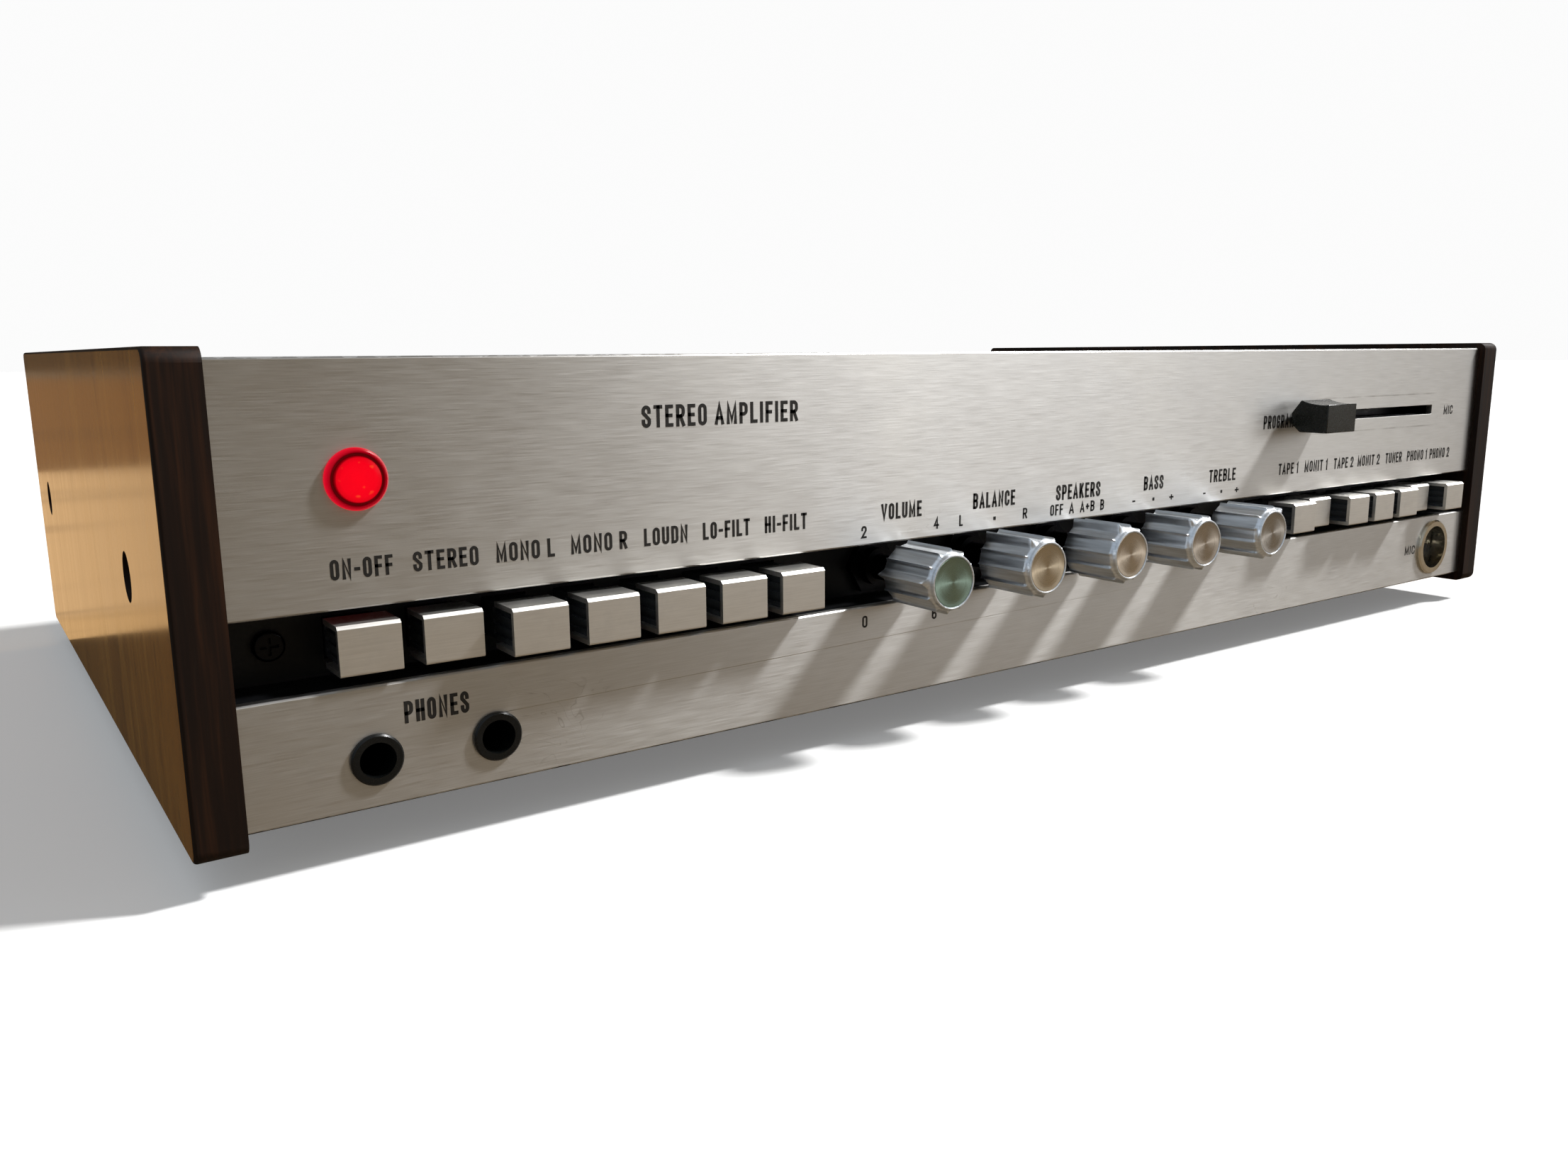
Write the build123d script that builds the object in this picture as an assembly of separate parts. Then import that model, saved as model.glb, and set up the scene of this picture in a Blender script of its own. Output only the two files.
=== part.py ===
from build123d import *
import os

# Integrated hi-fi amplifier, in millimetres.
# X runs along the front from the listener's left to right, Y runs into the cabinet, Z is up.
# The origin is the middle of the footprint, on the surface that the rubber feet stand on.

# ---- driving dimensions -------------------------------------------------------------------
GRID = 15.0                    # pitch of the push keys, and half the pitch of the rotary knobs
INNER_WIDTH = 409.0            # between the two wooden cheeks
CHEEK_THICKNESS = 8.5
CHEEK_LENGTH = 240.0
CHEEK_HEIGHT = 84.0
CHEEK_LEAD = 2.0               # how far the cheeks stand in front of the fascia
CHEEK_DROP = 3.0               # how far the cheeks hang below the fascia
FOOT_HEIGHT = 10.0
KNOB_REACH = 18.0              # front of the knobs, measured from the fascia
REAR_REACH = 10.0              # how far the rear fittings stand out of the rear panel

LOWER_FASCIA_HEIGHT = 22.5
CHANNEL_HEIGHT = 14.0
UPPER_FASCIA_HEIGHT = 42.8
FASCIA_THICKNESS = 2.0
CHANNEL_DEPTH = 12.0
SHEET = 1.2                    # steel sheet of the chassis, cover, rear panel and channel
BODY_DEPTH = 236.0             # fascia front to rear panel outer face

# ---- levels and stations worked out from them ---------------------------------------------
HALF = INNER_WIDTH / 2
FRONT = -(BODY_DEPTH + REAR_REACH + KNOB_REACH) / 2 + KNOB_REACH
REAR = FRONT + BODY_DEPTH
BASE = FOOT_HEIGHT
CHANNEL_FLOOR = BASE + LOWER_FASCIA_HEIGHT
CHANNEL_ROOF = CHANNEL_FLOOR + CHANNEL_HEIGHT
TOP = CHANNEL_ROOF + UPPER_FASCIA_HEIGHT
CONTROL_Z = (CHANNEL_FLOOR + CHANNEL_ROOF) / 2
FASCIA_BACK = FRONT + FASCIA_THICKNESS
CHANNEL_BACK = FRONT + CHANNEL_DEPTH
SUBPANEL = CHANNEL_BACK + SHEET
SUBPANEL_BACK = SUBPANEL + SHEET
COVER_TOP = TOP - 0.6
INNER_TOP = COVER_TOP - SHEET
FLOOR_TOP = BASE + SHEET

# ---- push keys ------------------------------------------------------------------------------
KEY_MARGIN = 22.5              # first left key axis from the left cheek
RIGHT_KEY_MARGIN = 19.5        # last right key axis from the right cheek
KEY_WIDTH = 11.0
KEY_HEIGHT = 9.0
KEY_WALL = 1.0
KEY_FLANGE = 9.0
KEY_OUT = 5.8                  # face of a released key in front of the fascia
KEY_TRAVEL = 4.2
PLUNGER_WIDTH = 8.4
PLUNGER_HEIGHT = KEY_HEIGHT - 2 * KEY_WALL
PLUNGER_LENGTH = 37.0
PLUNGER_GAP = 0.4
LEFT_KEYS = ["on_off", "stereo", "mono_left", "mono_right", "loudness", "low_filter", "high_filter"]
RIGHT_KEYS = ["tape_1", "monitor_1", "tape_2", "monitor_2", "tuner", "phono_1", "phono_2"]
LATCHED = ["on_off", "stereo", "monitor_1", "phono_1"]
SWITCH_WIDTH = 13.0
SWITCH_HEIGHT = 13.0
SWITCH_LENGTH = 46.0
SWITCH_POCKET = 32.0

# ---- rotary controls --------------------------------------------------------------------------
KNOB_POINTERS = {"volume": -87, "balance": -33, "speakers": -24, "bass": -37, "treble": 43}
KNOB_RIBS = 12
KNOB_CORE_RADIUS = 7.1
KNOB_RIB_RADIUS = 7.9
KNOB_POINTER_RADIUS = 9.2
KNOB_RIB_WIDTH = 1.7
KNOB_GAP = 1.8                 # clear space between fascia and knob
KNOB_COLLAR = 1.6              # length of the turned front end
KNOB_RIM_RADIUS = 6.9
KNOB_DISC_RADIUS = 6.1
KNOB_DISC_DEPTH = 0.5
SHAFT_RADIUS = 3.0
SHAFT_GRIP = 11.0              # length of shaft inside the knob
SHAFT_CLEARANCE = 0.05
BUSHING_RADIUS = 4.5
BUSHING_LENGTH = 7.0
CONTROL_RADIUS = 12.0
CONTROL_DEPTHS = {"volume": 20.0, "balance": 14.0, "speakers": 30.0, "bass": 14.0, "treble": 14.0}
SHAFT_TAIL = 10.0              # length of shaft behind the sub-panel
NUT_FLATS = 12.0
NUT_THICKNESS = 2.0

# ---- slide control ----------------------------------------------------------------------------
SLOT_LEFT = 95.5
SLOT_RIGHT = 175.5
SLOT_HEIGHT = 3.0
SLIDE_Z = BASE + 59.1
SLIDER_REST = 100.0
SLIDER_WIDTH = 15.0
SLIDER_HEIGHT = 9.6
SLIDER_REACH = 12.0
SLIDER_TAPER = 3.3             # the knob narrows over this depth towards the fascia
SLIDER_FOOT = 3.0
SLIDER_GAP = 0.4
LEVER_WIDTH = 3.0
LEVER_HEIGHT = 1.6

# ---- lamp and front sockets -------------------------------------------------------------------
LAMP_X = -HALF + KEY_MARGIN
LAMP_Z = BASE + 58.8
LAMP_RADIUS = 5.4
LAMP_FACE_RADIUS = 4.1
LAMP_NECK_RADIUS = 4.4
LAMP_REACH = 1.9
JACK_Z = BASE + 9.0
JACK_X = [-HALF + KEY_MARGIN, -HALF + 2 * KEY_MARGIN]
JACK_COLLAR_RADIUS = 4.7
JACK_BORE_RADIUS = 3.25        # takes a 6.35 mm stereo plug
JACK_NECK_RADIUS = 4.3
JACK_DEPTH = 30.0
MIC_X = HALF - 20.5
MIC_Z = BASE + 11.3
MIC_RING_RADIUS = 9.4
MIC_BORE_RADIUS = 7.3
MIC_SHELL_RADIUS = 7.9
MIC_INSERT_DEPTH = 5.0
DIN_PIN_CIRCLE = 4.5
DIN_PIN_RADIUS = 0.9
DIN_PIN_ANGLES = [0, 45, 90, 135, 180]

# ---- rear fittings and insides ----------------------------------------------------------------
INPUT_PITCH = 26.0
INPUT_X = [174.0 - INPUT_PITCH * i for i in range(5)]
INPUT_Z = 62.0
SPEAKER_X = [174.0 - INPUT_PITCH * i for i in range(4)]
SPEAKER_Z = 34.0
SOCKET_RADIUS = 8.0
FUSE_X = [-70.0, -95.0, -120.0]
FUSE_Z = 34.0
GLAND_X = -172.0
GLAND_Z = 34.0
GLAND_RADIUS = 8.0
GLAND_BORE = 3.4
CHEEK_SCREW_Y = [FRONT + 43.5, FRONT + 202.5]
CHEEK_SCREW_Z = BASE + 39.0
FOOT_X = 180.0
FOOT_Y = [FRONT + 40.0, FRONT + 206.0]


# ---- helpers ------------------------------------------------------------------------------------
def slab(x0, x1, y0, y1, z0, z1):
    """Box between two corners."""
    middle = Pos((x0 + x1) / 2, (y0 + y1) / 2, (z0 + z1) / 2)
    return middle * Box(x1 - x0, y1 - y0, z1 - z0)


def rod_y(x, z, radius, y0, y1):
    """Round bar along Y."""
    return Pos(x, (y0 + y1) / 2, z) * Rot(90, 0, 0) * Cylinder(radius, y1 - y0)


def rod_x(y, z, radius, x0, x1):
    """Round bar along X."""
    return Pos((x0 + x1) / 2, y, z) * Rot(0, 90, 0) * Cylinder(radius, x1 - x0)


def rod_z(x, y, radius, z0, z1):
    """Round bar along Z."""
    return Pos(x, y, (z0 + z1) / 2) * Cylinder(radius, z1 - z0)


def save(node, *solids):
    """One STEP file for one named piece, or for a group of identical pieces."""
    shape = solids[0] if len(solids) == 1 else Compound(children=list(solids))
    export_step(shape, f"parts/{node}.step")


def key_x(side, index):
    """Axis of a key in the left or right bank."""
    first = -HALF + KEY_MARGIN if side == "left" else HALF - RIGHT_KEY_MARGIN - 6 * GRID
    return first + index * GRID


def all_keys():
    """Every key as name, X position."""
    left = [(name, key_x("left", i)) for i, name in enumerate(LEFT_KEYS)]
    right = [(name, key_x("right", i)) for i, name in enumerate(RIGHT_KEYS)]
    return left + right


def knob_positions():
    """Every knob as name, X position: five knobs centred on the front."""
    return [(name, (i - 2) * 2 * GRID) for i, name in enumerate(KNOB_POINTERS)]


def key_openings(y0, y1):
    """Clearance holes for the fourteen plungers."""
    half_width = PLUNGER_WIDTH / 2 + PLUNGER_GAP
    half_height = PLUNGER_HEIGHT / 2 + PLUNGER_GAP
    return [
        slab(x - half_width, x + half_width, y0, y1, CONTROL_Z - half_height, CONTROL_Z + half_height)
        for _, x in all_keys()
    ]


def bushing_openings(y0, y1):
    """Clearance holes for the five threaded control bushings."""
    return [rod_y(x, CONTROL_Z, BUSHING_RADIUS, y0, y1) for _, x in knob_positions()]


# ---- woodwork -----------------------------------------------------------------------------------
CHEEK_CORNER = 2.5
CHEEK_EDGE = 0.7
CHEEK_SINK_RADIUS = 4.9
CHEEK_SINK_DEPTH = 4.5
CHEEK_SCREW_RADIUS = 2.0
CHEEK_HEAD_RADIUS = 4.2
CHEEK_HEAD_HEIGHT = 2.4
CHEEK_SCREW_TAIL = 9.0


def cheek(side):
    """Wooden end panel with rounded corners and two sunk screw holes. side is -1 or 1."""
    inner = side * HALF
    outer = side * (HALF + CHEEK_THICKNESS)
    y0 = FRONT - CHEEK_LEAD
    z0 = BASE - CHEEK_DROP
    board = slab(min(inner, outer), max(inner, outer), y0, y0 + CHEEK_LENGTH, z0, z0 + CHEEK_HEIGHT)
    board = fillet(board.edges().filter_by(Axis.X), CHEEK_CORNER)
    rim = board.faces().sort_by(Axis.X)[0 if side < 0 else -1].edges()
    board = fillet(rim, CHEEK_EDGE)
    floor_x = outer - side * CHEEK_SINK_DEPTH
    for y in CHEEK_SCREW_Y:
        sink = rod_x(y, CHEEK_SCREW_Z, CHEEK_SINK_RADIUS, min(floor_x, outer), max(floor_x, outer))
        hole = rod_x(y, CHEEK_SCREW_Z, CHEEK_SCREW_RADIUS, min(inner, outer), max(inner, outer))
        board = board - sink - hole
    return board


def cheek_screw(side, y):
    """Pan-head screw that holds a cheek to the chassis wall, with a cross recess."""
    floor_x = side * (HALF + CHEEK_THICKNESS - CHEEK_SINK_DEPTH)
    head_x = floor_x + side * CHEEK_HEAD_HEIGHT
    tail_x = side * (HALF - CHEEK_SCREW_TAIL)
    head = rod_x(y, CHEEK_SCREW_Z, CHEEK_HEAD_RADIUS, min(floor_x, head_x), max(floor_x, head_x))
    shank = rod_x(y, CHEEK_SCREW_Z, CHEEK_SCREW_RADIUS, min(tail_x, floor_x), max(tail_x, floor_x))
    slot_y = Pos(head_x, y, CHEEK_SCREW_Z) * Box(2 * 1.2, 4.4, 0.9)
    slot_z = Pos(head_x, y, CHEEK_SCREW_Z) * Box(2 * 1.2, 0.9, 4.4)
    return head + shank - slot_y - slot_z


# ---- front metalwork ------------------------------------------------------------------------------
FASCIA_CHAMFER = 0.35
RETURN_THICKNESS = 1.5
TOP_RETURN = 8.0
BOTTOM_RETURN = 10.0


def front_plate(z0, z1):
    """Aluminium plate with its front edges broken."""
    plate = slab(-HALF, HALF, FRONT, FASCIA_BACK, z0, z1)
    front_face = plate.faces().sort_by(Axis.Y)[0]
    return chamfer(front_face.edges().filter_by(Axis.X), FASCIA_CHAMFER)


def upper_fascia():
    """Tall plate with the lamp hole, the slide slot and a lip folded back along its top."""
    plate = front_plate(CHANNEL_ROOF, TOP)
    lip = slab(-HALF, HALF, FASCIA_BACK, FASCIA_BACK + TOP_RETURN, TOP - RETURN_THICKNESS, TOP)
    lamp_hole = rod_y(LAMP_X, LAMP_Z, LAMP_NECK_RADIUS, FRONT, FASCIA_BACK)
    slot_z0 = SLIDE_Z - SLOT_HEIGHT / 2
    slot = slab(SLOT_LEFT, SLOT_RIGHT, FRONT, FASCIA_BACK, slot_z0, slot_z0 + SLOT_HEIGHT)
    return plate + lip - lamp_hole - slot


def lower_fascia():
    """Low plate with the phone jack and microphone holes and a lip folded back along its foot."""
    plate = front_plate(BASE, CHANNEL_FLOOR)
    lip = slab(-HALF, HALF, FASCIA_BACK, FASCIA_BACK + BOTTOM_RETURN, BASE, BASE + RETURN_THICKNESS)
    plate = plate + lip
    for x in JACK_X:
        plate = plate - rod_y(x, JACK_Z, JACK_NECK_RADIUS, FRONT, FASCIA_BACK)
    return plate - rod_y(MIC_X, MIC_Z, MIC_SHELL_RADIUS, FRONT, FASCIA_BACK)


CHANNEL_FLANGE = 12.0
CHANNEL_SCREW_X = HALF - 8.5
SCREW_RADIUS = 1.5


def control_channel():
    """Black recessed channel between the two plates, pierced for keys and controls."""
    floor_sheet = slab(-HALF, HALF, FASCIA_BACK, CHANNEL_BACK, CHANNEL_FLOOR - SHEET, CHANNEL_FLOOR)
    roof_sheet = slab(-HALF, HALF, FASCIA_BACK, CHANNEL_BACK, CHANNEL_ROOF, CHANNEL_ROOF + SHEET)
    back = slab(-HALF, HALF, CHANNEL_BACK, SUBPANEL, CHANNEL_FLOOR - SHEET, CHANNEL_ROOF + SHEET)
    flange_z = CHANNEL_ROOF + SHEET
    flange = slab(-HALF, HALF, FASCIA_BACK, FASCIA_BACK + SHEET, flange_z, flange_z + CHANNEL_FLANGE)
    lamp_gap = rod_y(LAMP_X, LAMP_Z, 7.6, FASCIA_BACK, FASCIA_BACK + SHEET)
    openings = key_openings(CHANNEL_BACK, SUBPANEL) + bushing_openings(CHANNEL_BACK, SUBPANEL)
    screws = [
        rod_y(side * CHANNEL_SCREW_X, CONTROL_Z, SCREW_RADIUS, CHANNEL_BACK, SUBPANEL)
        for side in (-1, 1)
    ]
    return floor_sheet + roof_sheet + back + flange - lamp_gap - openings - screws


# ---- chassis, cover and rear panel ----------------------------------------------------------------
JACK_BODY_WIDTH = 15.0
JACK_BODY_HEIGHT = 13.0
COVER_SCREW_X = HALF - 12.0
COVER_SCREW_Y = [FRONT + 24.0, REAR - 14.0]
REAR_SCREW_X = [-HALF + 10.0, 0.0, HALF - 10.0]
REAR_SCREW_Z = [BASE + 6.0, INNER_TOP - 6.0]
VENT_ROWS = [REAR - 92.0, REAR - 50.0]
VENT_COUNT = 26
VENT_PITCH = 11.0
VENT_WIDTH = 4.0
VENT_LENGTH = 32.0


def chassis_tray():
    """Folded steel tray: floor, sub-panel behind the channel, and two side walls."""
    floor_sheet = slab(-HALF, HALF, SUBPANEL, REAR - SHEET, BASE, FLOOR_TOP)
    wall = slab(-HALF, HALF, SUBPANEL, SUBPANEL_BACK, FLOOR_TOP, INNER_TOP)
    left = slab(-HALF, -HALF + SHEET, SUBPANEL_BACK, REAR - SHEET, FLOOR_TOP, INNER_TOP)
    right = slab(HALF - SHEET, HALF, SUBPANEL_BACK, REAR - SHEET, FLOOR_TOP, INNER_TOP)
    tray = floor_sheet + wall + left + right
    cuts = key_openings(SUBPANEL, SUBPANEL_BACK) + bushing_openings(SUBPANEL, SUBPANEL_BACK)
    for x in JACK_X:
        half = JACK_BODY_WIDTH / 2 + 0.5
        low = JACK_Z - JACK_BODY_HEIGHT / 2 - 0.3
        cuts.append(slab(x - half, x + half, SUBPANEL, SUBPANEL_BACK, low, low + JACK_BODY_HEIGHT + 0.8))
    cuts.append(rod_y(MIC_X, MIC_Z, MIC_BORE_RADIUS + 1.0, SUBPANEL, SUBPANEL_BACK))
    cuts.append(rod_y(LAMP_X, LAMP_Z, 6.5, SUBPANEL, SUBPANEL_BACK))
    for side in (-1, 1):
        cuts.append(rod_y(side * CHANNEL_SCREW_X, CONTROL_Z, SCREW_RADIUS, SUBPANEL, SUBPANEL_BACK))
        wall_x = sorted([side * HALF, side * (HALF - SHEET)])
        for y in CHEEK_SCREW_Y:
            cuts.append(rod_x(y, CHEEK_SCREW_Z, CHEEK_SCREW_RADIUS, wall_x[0], wall_x[1]))
    return tray - cuts


def top_cover():
    """Flat steel lid with two rows of ventilation slots."""
    y0 = FASCIA_BACK + TOP_RETURN + 0.3
    lid = slab(-HALF, HALF, y0, REAR, INNER_TOP, COVER_TOP)
    cuts = []
    for row in VENT_ROWS:
        for i in range(VENT_COUNT):
            x = (i - (VENT_COUNT - 1) / 2) * VENT_PITCH
            slot = Plane.XY.offset(INNER_TOP) * Pos(x, row) * SlotOverall(VENT_LENGTH, VENT_WIDTH, 90)
            cuts.append(extrude(slot, SHEET))
    for side in (-1, 1):
        for y in COVER_SCREW_Y:
            cuts.append(rod_z(side * COVER_SCREW_X, y, SCREW_RADIUS, INNER_TOP, COVER_TOP))
    return lid - cuts


def rear_panel():
    """Steel rear wall with holes for the sockets, fuses, mains gland and screws."""
    wall = slab(-HALF, HALF, REAR - SHEET, REAR, BASE, INNER_TOP)
    cuts = []
    for x in INPUT_X:
        cuts.append(rod_y(x, INPUT_Z, SOCKET_RADIUS, REAR - SHEET, REAR))
    for x in SPEAKER_X:
        cuts.append(rod_y(x, SPEAKER_Z, SOCKET_RADIUS, REAR - SHEET, REAR))
    for x in FUSE_X:
        cuts.append(rod_y(x, FUSE_Z, FUSE_RADIUS, REAR - SHEET, REAR))
    cuts.append(rod_y(GLAND_X, GLAND_Z, GLAND_NECK, REAR - SHEET, REAR))
    for x in REAR_SCREW_X:
        for z in REAR_SCREW_Z:
            cuts.append(rod_y(x, z, SCREW_RADIUS, REAR - SHEET, REAR))
    return wall - cuts


# ---- screws and feet --------------------------------------------------------------------------------
SCREW_HEAD_RADIUS = 2.8
SCREW_HEAD_HEIGHT = 1.6
SCREW_LENGTH = 7.0
FOOT_BOTTOM_RADIUS = 10.0
FOOT_TOP_RADIUS = 12.0


def machine_screw(head_height=SCREW_HEAD_HEIGHT):
    """Cross-head screw, head on top of Z = 0 and shank below it."""
    head = rod_z(0, 0, SCREW_HEAD_RADIUS, 0, head_height)
    head = fillet(head.edges().group_by(Axis.Z)[-1], 0.4 * head_height)
    shank = rod_z(0, 0, SCREW_RADIUS, -SCREW_LENGTH, 0)
    cross_floor = head_height - 0.9
    cross = slab(-1.6, 1.6, -0.3, 0.3, cross_floor, head_height)
    cross = cross + slab(-0.3, 0.3, -1.6, 1.6, cross_floor, head_height)
    return head + shank - cross


def panel_screws():
    """Two screws in the channel, four in the lid and six in the rear panel."""
    screw = machine_screw()
    front = [Pos(side * CHANNEL_SCREW_X, CHANNEL_BACK, CONTROL_Z) * Rot(90, 0, 0) * screw for side in (-1, 1)]
    flat = machine_screw(TOP - COVER_TOP)
    lid = [Pos(side * COVER_SCREW_X, y, COVER_TOP) * flat for side in (-1, 1) for y in COVER_SCREW_Y]
    rear = [Pos(x, REAR, z) * Rot(-90, 0, 0) * screw for x in REAR_SCREW_X for z in REAR_SCREW_Z]
    return front + lid + rear


def rubber_foot(x, y):
    """Tapered rubber foot under the chassis floor."""
    cone = Cone(FOOT_BOTTOM_RADIUS, FOOT_TOP_RADIUS, FOOT_HEIGHT)
    foot = Pos(x, y, FOOT_HEIGHT / 2) * cone
    return fillet(foot.edges().group_by(Axis.Z)[0], 1.0)


# ---- keys -------------------------------------------------------------------------------------------
def key_face_y(name):
    """A latched key sits further in than a released one."""
    pushed = KEY_TRAVEL if name in LATCHED else 0.0
    return FRONT - KEY_OUT + pushed


def key_cap(x, face_y):
    """Aluminium sheet folded into a U: face, top flange and bottom flange, open at both sides."""
    z0 = CONTROL_Z - KEY_HEIGHT / 2
    z1 = z0 + KEY_HEIGHT
    block = slab(x - KEY_WIDTH / 2, x + KEY_WIDTH / 2, face_y, face_y + KEY_FLANGE, z0, z1)
    front_edges = block.faces().sort_by(Axis.Y)[0].edges()
    top_edge = front_edges.filter_by(Axis.X).sort_by(Axis.Z)[-1]
    block = chamfer(top_edge, 0.6)
    low_edge = block.faces().sort_by(Axis.Y)[0].edges().filter_by(Axis.X).sort_by(Axis.Z)[0]
    block = fillet(low_edge, 0.4)
    hollow = slab(
        x - KEY_WIDTH / 2, x + KEY_WIDTH / 2,
        face_y + KEY_WALL, face_y + KEY_FLANGE,
        z0 + KEY_WALL, z1 - KEY_WALL,
    )
    return block - hollow


RIB_DEPTH = 0.5
RIB_LENGTH = 12.0
RIB_GROOVE = 0.9


def key_plunger(x, face_y):
    """Plastic bar behind the cap, with grooves along both sides of its front end."""
    y0 = face_y + KEY_WALL
    half_height = PLUNGER_HEIGHT / 2
    bar = slab(
        x - PLUNGER_WIDTH / 2, x + PLUNGER_WIDTH / 2,
        y0, y0 + PLUNGER_LENGTH,
        CONTROL_Z - half_height, CONTROL_Z + half_height,
    )
    cuts = []
    for side in (-1, 1):
        edge = sorted([x + side * PLUNGER_WIDTH / 2, x + side * (PLUNGER_WIDTH / 2 - RIB_DEPTH)])
        for row in (-1, 0, 1):
            z = CONTROL_Z + row * 2.1
            cuts.append(slab(edge[0], edge[1], y0 + 0.6, y0 + RIB_LENGTH, z - RIB_GROOVE / 2, z + RIB_GROOVE / 2))
    return bar - cuts


def key_switch(x):
    """Switch housing behind the sub-panel, with the pocket that the plunger slides in."""
    half_width = PLUNGER_WIDTH / 2 + PLUNGER_GAP
    half_height = PLUNGER_HEIGHT / 2 + PLUNGER_GAP
    z0 = CONTROL_Z - SWITCH_HEIGHT / 2
    y0 = SUBPANEL_BACK
    housing = slab(
        x - SWITCH_WIDTH / 2, x + SWITCH_WIDTH / 2, y0, y0 + SWITCH_LENGTH, z0, z0 + SWITCH_HEIGHT
    )
    pocket = slab(
        x - half_width, x + half_width,
        y0, y0 + SWITCH_POCKET,
        CONTROL_Z - half_height, CONTROL_Z + half_height,
    )
    return housing - pocket


def key_switch_banks():
    """Seven switches and their tie rail behind each group of keys."""
    switches = [key_switch(x) for _, x in all_keys()]
    rail_z = CONTROL_Z + SWITCH_HEIGHT / 2
    rails = []
    for side in ("left", "right"):
        x0 = key_x(side, 0) - SWITCH_WIDTH / 2
        x1 = key_x(side, 6) + SWITCH_WIDTH / 2
        rails.append(slab(x0, x1, SUBPANEL_BACK + 6, SUBPANEL_BACK + 38, rail_z, rail_z + SHEET))
    return switches + rails


# ---- knobs and the controls behind them ---------------------------------------------------------------
def knob(x, pointer):
    """Ribbed aluminium knob with one taller pointer rib, a turned rim and a sunk front disc."""
    back = FRONT - KNOB_GAP
    rib_end = FRONT - KNOB_REACH + KNOB_COLLAR
    profile = Circle(KNOB_CORE_RADIUS)
    for i in range(KNOB_RIBS):
        tip = KNOB_POINTER_RADIUS if i == 0 else KNOB_RIB_RADIUS
        profile += Rot(0, 0, -i * 360 / KNOB_RIBS) * Pos(0, tip / 2) * Rectangle(KNOB_RIB_WIDTH, tip)
    turned = Plane.XZ.offset(-back) * Rot(0, 0, -pointer) * profile
    body = extrude(turned, back - rib_end)
    collar = Pos(0, rib_end - KNOB_COLLAR / 4, 0) * Rot(90, 0, 0)
    collar = collar * Cone(KNOB_CORE_RADIUS, KNOB_RIM_RADIUS, KNOB_COLLAR / 2)
    rim = rod_y(0, 0, KNOB_RIM_RADIUS, FRONT - KNOB_REACH, rib_end - KNOB_COLLAR / 2)
    disc = rod_y(0, 0, KNOB_DISC_RADIUS, FRONT - KNOB_REACH, FRONT - KNOB_REACH + KNOB_DISC_DEPTH)
    bore = rod_y(0, 0, SHAFT_RADIUS, back - SHAFT_GRIP, back)
    return Pos(x, 0, CONTROL_Z) * (body + collar + rim - disc - bore)


def knob_shaft(x):
    """Steel shaft from inside the knob, through the bushing, into the control."""
    return rod_y(x, CONTROL_Z, SHAFT_RADIUS, FRONT - KNOB_GAP - SHAFT_GRIP, SUBPANEL_BACK + SHAFT_TAIL)


def rotary_control(name, x):
    """Potentiometer or rotary switch body with its threaded bushing and shaft bore."""
    y0 = SUBPANEL_BACK
    can = rod_y(x, CONTROL_Z, CONTROL_RADIUS, y0, y0 + CONTROL_DEPTHS[name])
    lugs = slab(x - 9, x + 9, y0 + 4, y0 + 6, CONTROL_Z - 18, CONTROL_Z - 6)
    bushing = rod_y(x, CONTROL_Z, BUSHING_RADIUS, y0 - BUSHING_LENGTH, y0)
    bore = rod_y(x, CONTROL_Z, SHAFT_RADIUS + SHAFT_CLEARANCE, y0 - BUSHING_LENGTH, y0 + SHAFT_TAIL + 1)
    return can + lugs + bushing - bore


def control_nut(x):
    """Hexagon nut that clamps a control to the channel."""
    sides = Plane.XZ.offset(-CHANNEL_BACK) * Pos(x, CONTROL_Z) * RegularPolygon(NUT_FLATS / 2, 6, major_radius=False)
    return extrude(sides, NUT_THICKNESS) - rod_y(x, CONTROL_Z, BUSHING_RADIUS, CHANNEL_BACK - 3, CHANNEL_BACK)


# ---- slide control --------------------------------------------------------------------------------------
def slider_knob():
    """Black slide knob: a block that narrows to a thin foot at the fascia."""
    front = FRONT - SLIDER_REACH
    shoulder = FRONT - SLIDER_TAPER
    foot = FRONT - SLIDER_GAP
    half = SLIDER_HEIGHT / 2
    outline = Polyline(
        (front, -half), (shoulder, -half), (foot, -SLIDER_FOOT / 2),
        (foot, SLIDER_FOOT / 2), (shoulder, half), (front, half), close=True,
    )
    side = Plane.YZ.offset(SLIDER_REST - SLIDER_WIDTH / 2) * Pos(0, SLIDE_Z) * make_face(outline)
    block = extrude(side, SLIDER_WIDTH)
    block = chamfer(block.faces().sort_by(Axis.Y)[0].edges(), 0.35)
    return block - slider_lever()


def slider_lever():
    """Steel lever from the slide knob through the slot into the slide track."""
    return slab(
        SLIDER_REST - LEVER_WIDTH / 2, SLIDER_REST + LEVER_WIDTH / 2,
        FRONT - 6.0, FRONT + 8.5,
        SLIDE_Z - LEVER_HEIGHT / 2, SLIDE_Z + LEVER_HEIGHT / 2,
    )


def slide_potentiometer():
    """Long slide control body between the fascia and the sub-panel."""
    body = slab(SLOT_LEFT - 8, SLOT_RIGHT + 8, FASCIA_BACK + SHEET, SUBPANEL, SLIDE_Z - 5.5, SLIDE_Z + 5.5)
    track = slab(SLOT_LEFT, SLOT_RIGHT, FASCIA_BACK + SHEET, FRONT + 9.5, SLIDE_Z - 1.3, SLIDE_Z + 1.3)
    return body - track


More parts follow.
